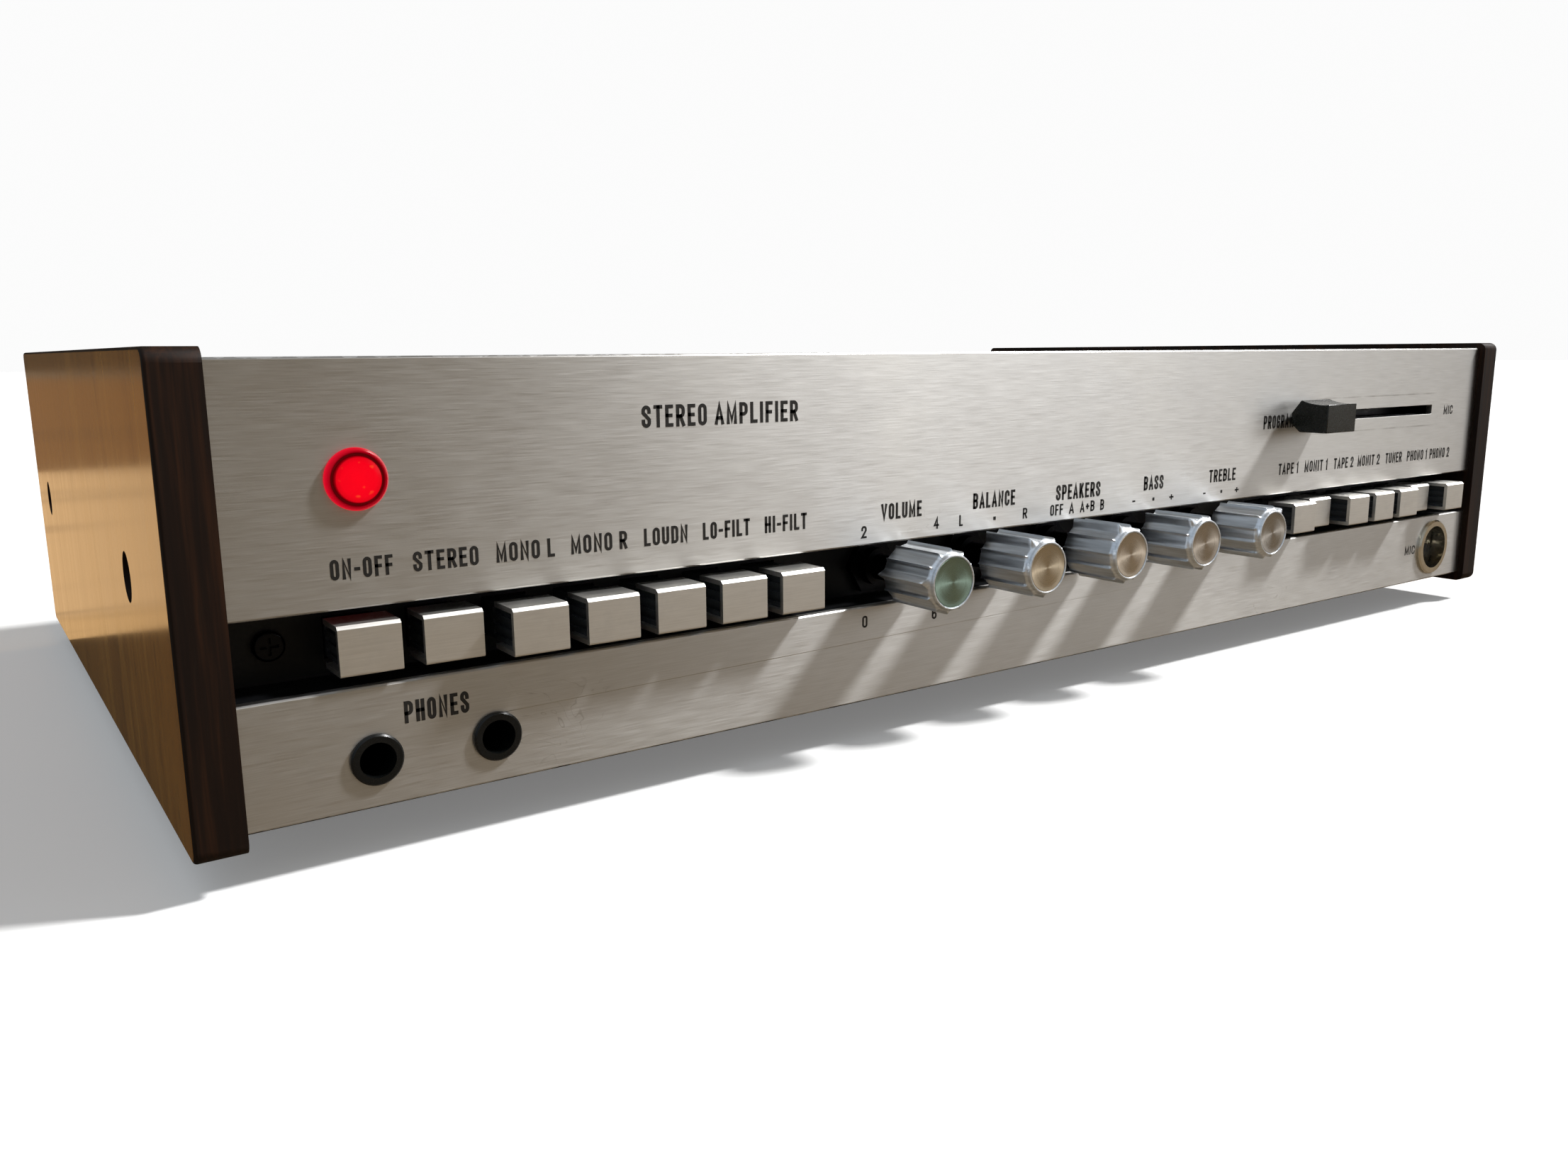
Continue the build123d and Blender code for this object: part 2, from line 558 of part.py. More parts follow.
# ---- lamp and front sockets -----------------------------------------------------------------------------
def lamp_lens():
    """Red lens: a bevelled button outside the fascia and a neck through it."""
    button = Pos(LAMP_X, FRONT - LAMP_REACH / 2, LAMP_Z) * Rot(90, 0, 0)
    button = button * Cone(LAMP_RADIUS, LAMP_FACE_RADIUS, LAMP_REACH)
    return button + rod_y(LAMP_X, LAMP_Z, LAMP_NECK_RADIUS, FRONT, FASCIA_BACK + 3)


def lamp_holder():
    """Socket behind the lens, and the small bulb inside it."""
    outer = rod_y(LAMP_X, LAMP_Z, 6.4, FASCIA_BACK, FASCIA_BACK + 22)
    pocket = rod_y(LAMP_X, LAMP_Z, LAMP_NECK_RADIUS, FASCIA_BACK, FASCIA_BACK + 12)
    bulb = rod_y(LAMP_X, LAMP_Z, 2.2, FASCIA_BACK + 4, FASCIA_BACK + 12)
    return [outer - pocket, fillet(bulb.edges().sort_by(Axis.Y)[0], 1.2)]


def phone_jack(x):
    """Black stereo jack socket: collar on the fascia, body behind it, one straight bore."""
    collar = rod_y(x, JACK_Z, JACK_COLLAR_RADIUS, FRONT - 0.9, FRONT)
    collar = chamfer(collar.edges().sort_by(Axis.Y)[0], 0.3)
    neck = rod_y(x, JACK_Z, JACK_NECK_RADIUS, FRONT, FASCIA_BACK)
    low = JACK_Z - JACK_BODY_HEIGHT / 2
    half = JACK_BODY_WIDTH / 2
    body = slab(x - half, x + half, FASCIA_BACK, FASCIA_BACK + JACK_DEPTH + 4, low + 0.3, low + JACK_BODY_HEIGHT)
    bore = rod_y(x, JACK_Z, JACK_BORE_RADIUS, FRONT - 0.9, FRONT + JACK_DEPTH)
    return collar + neck + body - bore


def din_pins(x, z, y0, y1, facing):
    """Five pin holes on a half circle; facing is 1 for the front and -1 for the rear."""
    holes = []
    for angle in DIN_PIN_ANGLES:
        spot = Vector(DIN_PIN_CIRCLE, 0, 0).rotate(Axis.Y, angle * facing)
        holes.append(rod_y(x + spot.X, z + spot.Z, DIN_PIN_RADIUS, y0, y1))
    return holes


def mic_socket_ring():
    """Nickel ring and shell of the microphone socket."""
    flange = rod_y(MIC_X, MIC_Z, MIC_RING_RADIUS, FRONT - 1.1, FRONT)
    flange = chamfer(flange.edges().sort_by(Axis.Y)[0], 0.5)
    shell = rod_y(MIC_X, MIC_Z, MIC_SHELL_RADIUS, FRONT, FRONT + MIC_INSERT_DEPTH)
    bore = rod_y(MIC_X, MIC_Z, MIC_BORE_RADIUS, FRONT - 1.1, FRONT + MIC_INSERT_DEPTH)
    return flange + shell - bore


def mic_socket_insert():
    """Black insulator inside the ring, with a five pin pattern and a key notch."""
    y0 = FRONT + MIC_INSERT_DEPTH
    core = rod_y(MIC_X, MIC_Z, MIC_SHELL_RADIUS, y0, FRONT + 16)
    notch = slab(MIC_X - 1.1, MIC_X + 1.1, y0, FRONT + 12, MIC_Z + MIC_BORE_RADIUS - 1.2, MIC_Z + MIC_BORE_RADIUS)
    return core - din_pins(MIC_X, MIC_Z, y0, FRONT + 12, 1) - notch


# ---- rear fittings ----------------------------------------------------------------------------------------
FUSE_RADIUS = 6.0
FUSE_CAP_RADIUS = 7.2
GLAND_NECK = 6.2


def input_socket(x):
    """Five pin socket on the rear panel."""
    flange = slab(x - 11, x + 11, REAR, REAR + 1.2, INPUT_Z - 9.5, INPUT_Z + 9.5)
    body = rod_y(x, INPUT_Z, SOCKET_RADIUS, REAR - 16, REAR)
    well = rod_y(x, INPUT_Z, SOCKET_RADIUS - 1.2, REAR - 6, REAR + 1.2)
    pins = din_pins(x, INPUT_Z, REAR - 13, REAR - 6, 1)
    return flange + body - well - pins


def speaker_socket(x):
    """Two pin loudspeaker socket on the rear panel: a flat blade slot and a round hole."""
    flange = slab(x - 11, x + 11, REAR, REAR + 1.2, SPEAKER_Z - 9.5, SPEAKER_Z + 9.5)
    body = rod_y(x, SPEAKER_Z, SOCKET_RADIUS, REAR - 16, REAR)
    blade = slab(x - 0.9, x + 0.9, REAR - 13, REAR + 1.2, SPEAKER_Z - 1.5, SPEAKER_Z + 4.5)
    pin = rod_y(x, SPEAKER_Z - 4.4, 1.9, REAR - 13, REAR + 1.2)
    return flange + body - blade - pin


def fuse_holder(x):
    """Screw cap fuse holder with a coin slot."""
    body = rod_y(x, FUSE_Z, FUSE_RADIUS, REAR - 30, REAR)
    cap = rod_y(x, FUSE_Z, FUSE_CAP_RADIUS, REAR, REAR + 7)
    cap = chamfer(cap.edges().sort_by(Axis.Y)[-1], 0.6)
    coin_slot = slab(x - 4.5, x + 4.5, REAR + 5.8, REAR + 7, FUSE_Z - 0.7, FUSE_Z + 0.7)
    return body + cap - coin_slot


def mains_gland():
    """Cable gland in the rear panel; the mains lead itself is not part of the model."""
    neck = rod_y(GLAND_X, GLAND_Z, GLAND_NECK, REAR - SHEET, REAR)
    flange = rod_y(GLAND_X, GLAND_Z, GLAND_RADIUS, REAR, REAR + 2.5)
    nose = Pos(GLAND_X, REAR + 2.5 + (REAR_REACH - 2.5) / 2, GLAND_Z) * Rot(-90, 0, 0)
    nose = nose * Cone(6.4, 5.0, REAR_REACH - 2.5)
    inner = rod_y(GLAND_X, GLAND_Z, GLAND_RADIUS, REAR - SHEET - 5, REAR - SHEET)
    bore = rod_y(GLAND_X, GLAND_Z, GLAND_BORE, REAR - SHEET - 5, REAR + REAR_REACH)
    return neck + flange + nose + inner - bore


# ---- insides --------------------------------------------------------------------------------------------
TRANSFORMER = (-150.0, FRONT + 175.0)
CORE_SIZE = (80.0, 34.0, 66.0)


def power_transformer():
    """Laminated core with two windows, the winding round its middle leg, and two feet."""
    x, y = TRANSFORMER
    width, depth, height = CORE_SIZE
    z0 = FLOOR_TOP
    core = slab(x - width / 2, x + width / 2, y - depth / 2, y + depth / 2, z0, z0 + height)
    leg = width / 3
    window_z = (z0 + 14, z0 + height - 14)
    for side in (-1, 1):
        edges = sorted([x + side * leg / 2, x + side * (width / 2 - leg / 2)])
        core = core - slab(edges[0], edges[1], y - depth / 2, y + depth / 2, window_z[0], window_z[1])
    reach = leg / 2 + leg / 2 - 1
    winding = slab(x - reach, x + reach, y - depth / 2 - 11, y + depth / 2 + 11, window_z[0] + 1, window_z[1] - 1)
    winding = winding - slab(x - leg / 2, x + leg / 2, y - depth / 2, y + depth / 2, z0, z0 + height)
    winding = fillet(winding.edges().filter_by(Axis.Z).group_by(Axis.Y)[0], 3)
    return [core, winding]


BOARD_X = (-90.0, 190.0)
BOARD_Y = (FRONT + 68.0, FRONT + 205.0)
BOARD_Z = BASE + 12.0
BOARD_THICKNESS = 1.6


def circuit_board():
    """Main board on four pillars with rows of small parts, each a separate piece."""
    board = slab(BOARD_X[0], BOARD_X[1], BOARD_Y[0], BOARD_Y[1], BOARD_Z, BOARD_Z + BOARD_THICKNESS)
    pieces = [board]
    for x in (BOARD_X[0] + 8, BOARD_X[1] - 8):
        for y in (BOARD_Y[0] + 8, BOARD_Y[1] - 8):
            pieces.append(rod_z(x, y, 3, FLOOR_TOP, BOARD_Z))
    top = BOARD_Z + BOARD_THICKNESS
    for i in range(10):
        x = BOARD_X[0] + 22 + i * 26
        pieces.append(rod_z(x, BOARD_Y[0] + 20, 4.5, top, top + 14))
        pieces.append(slab(x - 4, x + 4, BOARD_Y[0] + 38, BOARD_Y[0] + 52, top, top + 6))
        pieces.append(rod_z(x, BOARD_Y[0] + 70, 3.0, top, top + 9))
    return pieces


SINK_X = (-60.0, 120.0)
SINK_Y = FRONT + 176.0


def heat_sink():
    """Finned aluminium heat sink standing on the main board, under the ventilation slots."""
    z0 = BOARD_Z + BOARD_THICKNESS
    z1 = z0 + 46
    sink = slab(SINK_X[0], SINK_X[1], SINK_Y, SINK_Y + 4, z0, z1)
    for i in range(19):
        x = SINK_X[0] + 1 + i * (SINK_X[1] - SINK_X[0] - 2) / 18
        sink = sink + slab(x - 1, x + 1, SINK_Y - 20, SINK_Y, z0, z1)
    return sink


CAPACITORS = [(-168.0, FRONT + 112.0), (-132.0, FRONT + 112.0)]


def smoothing_capacitor(x, y):
    """Tall can capacitor standing on the chassis floor."""
    can = rod_z(x, y, 13, FLOOR_TOP, FLOOR_TOP + 50)
    return fillet(can.edges().group_by(Axis.Z)[-1], 1.5)


# ---- write every piece ------------------------------------------------------------------------------------
os.makedirs("parts", exist_ok=True)

save("left_cheek", cheek(-1))
save("right_cheek", cheek(1))
save("cheek_screws", *[cheek_screw(side, y) for side in (-1, 1) for y in CHEEK_SCREW_Y])
save("upper_fascia", upper_fascia())
save("lower_fascia", lower_fascia())
save("control_channel", control_channel())
save("chassis_tray", chassis_tray())
save("top_cover", top_cover())
save("rear_panel", rear_panel())
save("panel_screws", *panel_screws())
save("rubber_feet", *[rubber_foot(side * FOOT_X, y) for side in (-1, 1) for y in FOOT_Y])

for name, x in all_keys():
    save(f"key_{name}_cap", key_cap(x, key_face_y(name)))
    save(f"key_{name}_plunger", key_plunger(x, key_face_y(name)))
save("key_switch_banks", *key_switch_banks())

for name, x in knob_positions():
    save(f"knob_{name}", knob(x, KNOB_POINTERS[name]), knob_shaft(x))
controls = [rotary_control(name, x) for name, x in knob_positions()]
save("rotary_controls", *controls, *[control_nut(x) for _, x in knob_positions()])

save("slider_knob", slider_knob(), slider_lever())
save("slide_potentiometer", slide_potentiometer())
save("lamp_lens", lamp_lens())
save("lamp_holder", *lamp_holder())
save("headphone_jacks", *[phone_jack(x) for x in JACK_X])
save("mic_socket_ring", mic_socket_ring())
save("mic_socket_insert", mic_socket_insert())

save("rear_sockets", *[input_socket(x) for x in INPUT_X], *[speaker_socket(x) for x in SPEAKER_X])
save("fuse_holders", *[fuse_holder(x) for x in FUSE_X])
save("mains_gland", mains_gland())
save("power_transformer", *power_transformer())
save("circuit_board", *circuit_board())
save("heat_sink", heat_sink())
save("smoothing_capacitors", *[smoothing_capacitor(x, y) for x, y in CAPACITORS])
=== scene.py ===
import math

import bmesh
import bpy
from mathutils import Euler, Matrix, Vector


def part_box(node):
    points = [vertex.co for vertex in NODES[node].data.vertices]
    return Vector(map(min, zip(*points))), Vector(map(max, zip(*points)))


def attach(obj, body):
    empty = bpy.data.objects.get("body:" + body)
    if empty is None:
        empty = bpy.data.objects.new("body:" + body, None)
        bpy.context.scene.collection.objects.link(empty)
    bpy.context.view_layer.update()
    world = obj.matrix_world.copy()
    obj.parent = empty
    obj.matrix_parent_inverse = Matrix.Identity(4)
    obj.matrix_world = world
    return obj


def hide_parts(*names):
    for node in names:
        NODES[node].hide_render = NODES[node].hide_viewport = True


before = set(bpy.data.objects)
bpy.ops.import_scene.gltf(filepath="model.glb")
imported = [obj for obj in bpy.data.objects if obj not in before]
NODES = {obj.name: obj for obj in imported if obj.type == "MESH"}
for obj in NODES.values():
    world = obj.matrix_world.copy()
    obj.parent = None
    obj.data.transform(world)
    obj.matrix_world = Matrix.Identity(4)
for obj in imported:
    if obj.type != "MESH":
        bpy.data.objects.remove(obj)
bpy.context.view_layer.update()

MM = 0.001

# ---- levels and stations read from the CAD boxes, in metres ------------------------------------
UPPER_LOW, UPPER_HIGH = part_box("upper_fascia")
LOWER_LOW, LOWER_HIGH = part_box("lower_fascia")
LEFT = UPPER_LOW.x
FRONT = UPPER_LOW.y
TOP = UPPER_HIGH.z
BASE = LOWER_LOW.z
CHANNEL_FLOOR = LOWER_HIGH.z
CHANNEL_ROOF = UPPER_LOW.z
CONTROL_LEVEL = (CHANNEL_FLOOR + CHANNEL_ROOF) / 2
KNOBS = ("volume", "balance", "speakers", "bass", "treble")
KNOB_PITCH = 30 * MM


def centre(node):
    """Middle of a CAD node's box."""
    low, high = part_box(node)
    return (low + high) / 2


# ---- material graphs ---------------------------------------------------------------------------
class Graph:
    """One material's nodes. Positions are object coordinates, so a finish moves with its piece."""

    def __init__(self, name):
        self.material = bpy.data.materials.new(name)
        self.material.use_nodes = True
        self.tree = self.material.node_tree
        self.shader = next(n for n in self.tree.nodes if n.type == "BSDF_PRINCIPLED")
        self.spot = self.make("ShaderNodeTexCoord").outputs
        self.parts = self.make("ShaderNodeSeparateXYZ")
        self.join(self.spot["Object"], self.parts.inputs[0])
        self.faces = self.make("ShaderNodeSeparateXYZ")
        self.join(self.spot["Normal"], self.faces.inputs[0])

    def make(self, kind, **settings):
        made = self.tree.nodes.new(kind)
        for key, value in settings.items():
            setattr(made, key, value)
        return made

    def join(self, source, target):
        """Connect a socket, or set a constant on the target itself."""
        if isinstance(source, bpy.types.NodeSocket):
            self.tree.links.new(source, target)
        else:
            target.default_value = source

    def axis(self, letter):
        return self.parts.outputs[letter]

    def facing(self, letter):
        return self.calc("ABSOLUTE", self.faces.outputs[letter])

    def calc(self, operation, a, b=0.0, clamp=False):
        made = self.make("ShaderNodeMath", operation=operation, use_clamp=clamp)
        self.join(a, made.inputs[0])
        self.join(b, made.inputs[1])
        return made.outputs[0]

    def place(self, scale, origin=(0, 0, 0)):
        """Object coordinates moved to an origin, then stretched."""
        made = self.make("ShaderNodeMapping")
        self.join(self.spot["Object"], made.inputs["Vector"])
        made.inputs["Scale"].default_value = scale
        made.inputs["Location"].default_value = [-o * s for o, s in zip(origin, scale)]
        return made.outputs[0]

    def noise(self, scale, detail=3.0, rough=0.5, twist=0.0, origin=(0, 0, 0)):
        made = self.make("ShaderNodeTexNoise")
        self.join(self.place(scale, origin), made.inputs["Vector"])
        made.inputs["Scale"].default_value = 1.0
        made.inputs["Detail"].default_value = detail
        made.inputs["Roughness"].default_value = rough
        made.inputs["Distortion"].default_value = twist
        return made.outputs["Fac"]

    def cells(self, scale, feature="F1"):
        made = self.make("ShaderNodeTexVoronoi", feature=feature)
        self.join(self.place(scale), made.inputs["Vector"])
        made.inputs["Scale"].default_value = 1.0
        return made.outputs["Distance"]

    def range(self, value, low, high, to_low=0.0, to_high=1.0):
        made = self.make("ShaderNodeMapRange")
        self.join(value, made.inputs["Value"])
        for name, number in zip(("From Min", "From Max", "To Min", "To Max"), (low, high, to_low, to_high)):
            made.inputs[name].default_value = number
        return made.outputs[0]

    def ramp(self, value, stops):
        made = self.make("ShaderNodeValToRGB")
        self.join(value, made.inputs[0])
        points = made.color_ramp.elements
        while len(points) < len(stops):
            points.new(0.5)
        for point, (place, colour) in zip(points, stops):
            point.position = place
            point.color = (*colour, 1)
        return made.outputs[0]

    def mix(self, share, a, b, blend="MIX"):
        made = self.make("ShaderNodeMix", data_type="RGBA", blend_type=blend)
        self.join(share, made.inputs[0])
        for source, target in ((a, made.inputs[6]), (b, made.inputs[7])):
            self.join(source if isinstance(source, bpy.types.NodeSocket) else (*source, 1), target)
        return made.outputs[2]

    def bump(self, height, strength, depth=0.0001, under=None):
        made = self.make("ShaderNodeBump")
        made.inputs["Strength"].default_value = strength
        made.inputs["Distance"].default_value = depth
        self.join(height, made.inputs["Height"])
        if under is not None:
            self.join(under, made.inputs["Normal"])
        return made.outputs[0]

    def tangent(self, letter):
        """Brushing that runs round this axis."""
        made = self.make("ShaderNodeTangent", direction_type="RADIAL", axis=letter)
        self.join(made.outputs[0], self.shader.inputs["Tangent"])

    def finish(self, colour=None, rough=None, normal=None, **constants):
        """Linked colour, roughness and normal, and constants on the shader's own sockets."""
        for value, name in ((colour, "Base Color"), (rough, "Roughness"), (normal, "Normal")):
            if value is not None:
                self.join(value, self.shader.inputs[name])
        for key, value in constants.items():
            self.shader.inputs[key.replace("_", " ").title().replace("Ior", "IOR")].default_value = value
        return self.material


def edge_chips_and_glints(g, line, reach, scale):
    """1 in broken spots within reach of the level where line is 0, else 0."""
    near = g.range(g.calc("ABSOLUTE", line), 0.0, reach, 1.0, 0.0)
    return g.calc("GREATER_THAN", g.calc("MULTIPLY", near, g.noise(scale, 4.0)), 0.42)


CHIP_AND_GLINT_REACH = 0.9 * MM          # how far the marks reach from the edges of the front: chips with painted glints at the top, nicks at the bottom
SLOT_RUB_OFFSET = 5.3 * MM     # rubbed lines above and below the slide slot, from its middle
SLOT_RUB_LEFT = (0.104, 0.110)
SLOT_RUB_RIGHT = (0.172, 0.178)


def brushed_fascia():
    """Warm grey aluminium, brushed along X, with hairlines, smudges, chipped edges and painted glints along
    the top edge.
    """
    g = Graph("brushed_fascia")
    fine = g.noise((150, 150, 9000), 2.0)
    broad = g.noise((95, 95, 2600), 3.0)
    cloud = g.noise((22, 22, 30), 3.0, 0.6, 0.5)
    tone = g.calc("ADD", g.calc("MULTIPLY", fine, 0.65), g.calc("MULTIPLY", broad, 0.35))
    colour = g.ramp(tone, (
        (0.25, (0.52, 0.51, 0.49)), (0.5, (0.60, 0.592, 0.575)), (0.75, (0.68, 0.675, 0.66)),
    ))
    colour = g.mix(g.range(cloud, 0.45, 0.75, 0.0, 0.22), colour, (0.45, 0.43, 0.38))
    wander = g.noise((70, 1, 160), 2.0, 0.5, 1.2)
    hair = g.range(g.calc("ABSOLUTE", g.calc("SUBTRACT", wander, 0.5)), 0.0, 0.006, 1.0, 0.0)
    patch = g.range(g.noise((18, 1, 26), 1.0), 0.66, 0.74)
    scratch = g.calc("MULTIPLY", hair, patch)
    colour = g.mix(g.calc("MULTIPLY", scratch, 0.4), colour, (0.24, 0.22, 0.19))
    # Bright spots along the top edge: partly chipped edge, partly painted glints where the edge catches the
    # light.
    chips_and_glints = edge_chips_and_glints(g, g.calc("SUBTRACT", g.axis("Z"), TOP), CHIP_AND_GLINT_REACH, (420, 420, 700))
    colour = g.mix(chips_and_glints, colour, (0.93, 0.93, 0.92))
    nicks = edge_chips_and_glints(g, g.calc("SUBTRACT", g.axis("Z"), BASE), CHIP_AND_GLINT_REACH, (160, 160, 500))
    colour = g.mix(nicks, colour, (0.05, 0.04, 0.03))
    slot_low, slot_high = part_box("slide_potentiometer")
    level = (slot_low.z + slot_high.z) / 2
    off = g.calc("ABSOLUTE", g.calc("SUBTRACT", g.axis("Z"), level))
    line = g.range(g.calc("ABSOLUTE", g.calc("SUBTRACT", off, SLOT_RUB_OFFSET)), 0.0, 0.35 * MM, 1.0, 0.0)
    inside = g.calc(
        "MULTIPLY", g.range(g.axis("X"), *SLOT_RUB_LEFT), g.range(g.axis("X"), *SLOT_RUB_RIGHT, 1.0, 0.0)
    )
    broken = g.range(g.noise((130, 1, 60)), 0.3, 0.6)
    rubbed = g.calc("MULTIPLY", line, g.calc("MULTIPLY", inside, broken))
    colour = g.mix(g.calc("MULTIPLY", rubbed, 0.65), colour, (0.25, 0.23, 0.21))
    rough = g.calc("ADD", g.range(tone, 0.3, 0.7, 0.34, 0.46), g.range(cloud, 0.4, 0.8, 0.0, 0.08))
    normal = g.bump(tone, 0.10, 0.00003)
    normal = g.bump(scratch, 0.15, 0.00003, normal)
    g.tangent("Z")
    return g.finish(colour, rough, normal, metallic=1.0, anisotropic=0.7, anisotropic_rotation=0.25)


VENEER_DEPTH = 0.6 * MM
SQUARE_ON = 0.97               # how squarely a face looks outward to count as the veneer


def cheek_wood():
    """Hardwood edges painted near-black, partly their own darker wood and partly painted shade, and a
    lacquered golden veneer on the outer face, with upright grain.
    """
    g = Graph("cheek_wood")
    pore = g.noise((900, 900, 26), 3.0, 0.6, 0.3)
    figure = g.noise((95, 95, 5.0), 4.0, 0.55, 1.4)
    band = g.noise((28, 28, 1.6), 2.0, 0.5, 0.8)
    grain = g.calc("ADD", g.calc("MULTIPLY", figure, 0.6), g.calc("MULTIPLY", pore, 0.4))
    veneer = g.ramp(grain, (
        (0.30, (0.22, 0.080, 0.010)), (0.50, (0.40, 0.165, 0.025)), (0.70, (0.56, 0.27, 0.055)),
    ))
    veneer = g.mix(g.range(band, 0.4, 0.7, 0.0, 0.35), veneer, (0.24, 0.085, 0.012))
    # The edges are painted near-black: partly the darker edge wood, partly painted shade on the front
    # edges.
    edge = g.ramp(grain, (
        (0.32, (0.003, 0.0012, 0.0006)), (0.5, (0.011, 0.0040, 0.0015)), (0.68, (0.042, 0.014, 0.004)),
    ))
    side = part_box("right_cheek")[1].x - VENEER_DEPTH
    outward = g.calc("GREATER_THAN", g.calc("ABSOLUTE", g.axis("X")), side)
    outward = g.calc("MULTIPLY", outward, g.calc("GREATER_THAN", g.facing("X"), SQUARE_ON))
    colour = g.mix(outward, edge, veneer)
    ticks = g.calc("GREATER_THAN", g.noise((1500, 1500, 90), 1.0), 0.66)
    colour = g.mix(g.calc("MULTIPLY", ticks, 0.45), colour, (0.012, 0.006, 0.003))
    lacquer = g.range(grain, 0.3, 0.7, 0.13, 0.19)
    rough = g.calc("ADD", lacquer, g.range(outward, 0.0, 1.0, 0.45, 0.0))
    normal = g.bump(pore, 0.05, 0.00005)
    normal = g.bump(ticks, -0.12, 0.00005, normal)
    return g.finish(colour, rough, normal, specular_ior_level=0.18)


def painted(name, colour, rough, grain=900.0, strength=0.12, gloss=0.4):
    """Paint or moulded plastic: fine orange-peel bump, faint tone drift and dust."""
    g = Graph(name)
    fine = g.noise((grain, grain, grain), 3.0)
    drift = g.noise((35, 35, 35), 3.0, 0.6)
    dust = g.range(g.noise((260, 260, 260), 4.0, 0.7), 0.55, 0.8)
    darker = [c * 0.72 for c in colour]
    lighter = [min(1.0, c * 1.22 + 0.002) for c in colour]
    tone = g.ramp(drift, ((0.3, darker), (0.5, colour), (0.72, lighter)))
    tone = g.mix(g.calc("MULTIPLY", dust, 0.3), tone, [min(1, c * 1.7 + 0.006) for c in colour])
    roughness = g.range(fine, 0.3, 0.7, rough - 0.06, rough + 0.08)
    roughness = g.calc("ADD", roughness, g.calc("MULTIPLY", dust, 0.12), clamp=True)
    return g.finish(tone, roughness, g.bump(fine, strength, 0.0001), specular_ior_level=gloss)


STAIN = (0.20, 0.18, 0.15)
# Colour of the painted shade on metal in the recess.
PAINTED_RECESS_SHADE = (0.012, 0.012, 0.013)


def metal(name, colour, rough, brush, strength=0.10, dirty=0.15, painted_recess_shade=None, contrast=1.0):
    """Bare metal with directional tool marks, faint staining and uneven polish.

    The pair of Y stations for the recess marks painted shade: the metal between them is painted black,
    where it lies in the shade of the recess.
    """
    g = Graph(name)
    marks = g.noise(brush, 2.0)
    stain = g.range(g.noise((140, 140, 140), 4.0, 0.6), 0.48, 0.78)
    darker = [c * (1 - 0.18 * contrast) for c in colour]
    lighter = [min(1.0, c * (1 + 0.10 * contrast)) for c in colour]
    tone = g.ramp(marks, ((0.3, darker), (0.7, lighter)))
    tone = g.mix(g.calc("MULTIPLY", stain, dirty), tone, STAIN)
    polish = g.range(marks, 0.3, 0.7, rough - 0.06 * contrast, rough + 0.06 * contrast)
    roughness = g.calc("ADD", polish, g.calc("MULTIPLY", stain, 0.12 * contrast))
    # Painted shade: the metal between the two Y stations, in the recess, is painted black.
    if painted_recess_shade is not None:
        inner = g.calc("GREATER_THAN", g.axis("Y"), painted_recess_shade[0])
        inner = g.calc("MULTIPLY", inner, g.calc("LESS_THAN", g.axis("Y"), painted_recess_shade[1]))
        tone = g.mix(inner, tone, PAINTED_RECESS_SHADE)
    return g.finish(tone, roughness, g.bump(marks, strength, 0.00005), metallic=1.0)


def wrinkled(name, colour, rough):
    """Black wrinkle paint for the lid and rear."""
    g = Graph(name)
    folds = g.noise((1500, 1500, 1500), 4.0, 0.55, 1.5)
    drift = g.noise((14, 14, 14), 3.0)
    tone = g.ramp(drift, ((0.3, [c * 0.7 for c in colour]), (0.7, [c * 1.3 for c in colour])))
    dust = g.range(g.noise((60, 60, 60), 5.0, 0.7), 0.5, 0.8)
    tone = g.mix(g.calc("MULTIPLY", dust, 0.12), tone, (0.16, 0.15, 0.14))
    return g.finish(tone, g.range(folds, 0.3, 0.7, rough - 0.08, rough + 0.1), g.bump(folds, 0.5, 0.00015))


def from_axis(g, middle):
    """Distance from an axis along Y through middle."""
    across = g.calc("SUBTRACT", g.axis("X"), middle.x)
    up = g.calc("SUBTRACT", g.axis("Z"), middle.z)
    return g.calc("SQRT", g.calc("ADD", g.calc("MULTIPLY", across, across), g.calc("MULTIPLY", up, up)))


LENS_GLOW_RADIUS = 6 * MM


def lit_lens():
    """Red lamp lens lit from behind: bright raised face, dark groove, glowing bevel."""
    g = Graph("lit_lens")
    radius = g.calc("DIVIDE", from_axis(g, centre("lamp_lens")), LENS_GLOW_RADIUS)
    swirl = g.noise((420, 420, 420), 3.0, 0.6, 1.0)
    glow = g.ramp(radius, (
        (0.0, (1.0, 0.0, 0.010)), (0.50, (0.92, 0.0, 0.010)), (0.62, (0.75, 0.0, 0.008)),
        (0.67, (0.08, 0.0, 0.001)), (0.74, (0.07, 0.0, 0.001)), (0.80, (0.38, 0.0, 0.008)),
        (0.90, (0.75, 0.0, 0.02)),
    ))
    spots = g.range(g.noise((700, 700, 700), 1.0), 0.62, 0.74, 0.0, 0.6)
    glow = g.mix(g.calc("MULTIPLY", spots, g.range(radius, 0.5, 0.6, 1.0, 0.0)), glow, (1.0, 0.10, 0.02))
    g.join(glow, g.shader.inputs["Emission Color"])
    g.shader.inputs["Emission Strength"].default_value = 0.95
    tone = g.mix(g.range(swirl, 0.3, 0.7), (0.05, 0.0, 0.001), (0.10, 0.0, 0.002))
    return g.finish(tone, g.range(swirl, 0.3, 0.7, 0.10, 0.20), g.bump(swirl, 0.08, 0.0001),
                    specular_ior_level=0.12)


BOARD_TOP = 24 * MM            # everything above this level is a part on the board


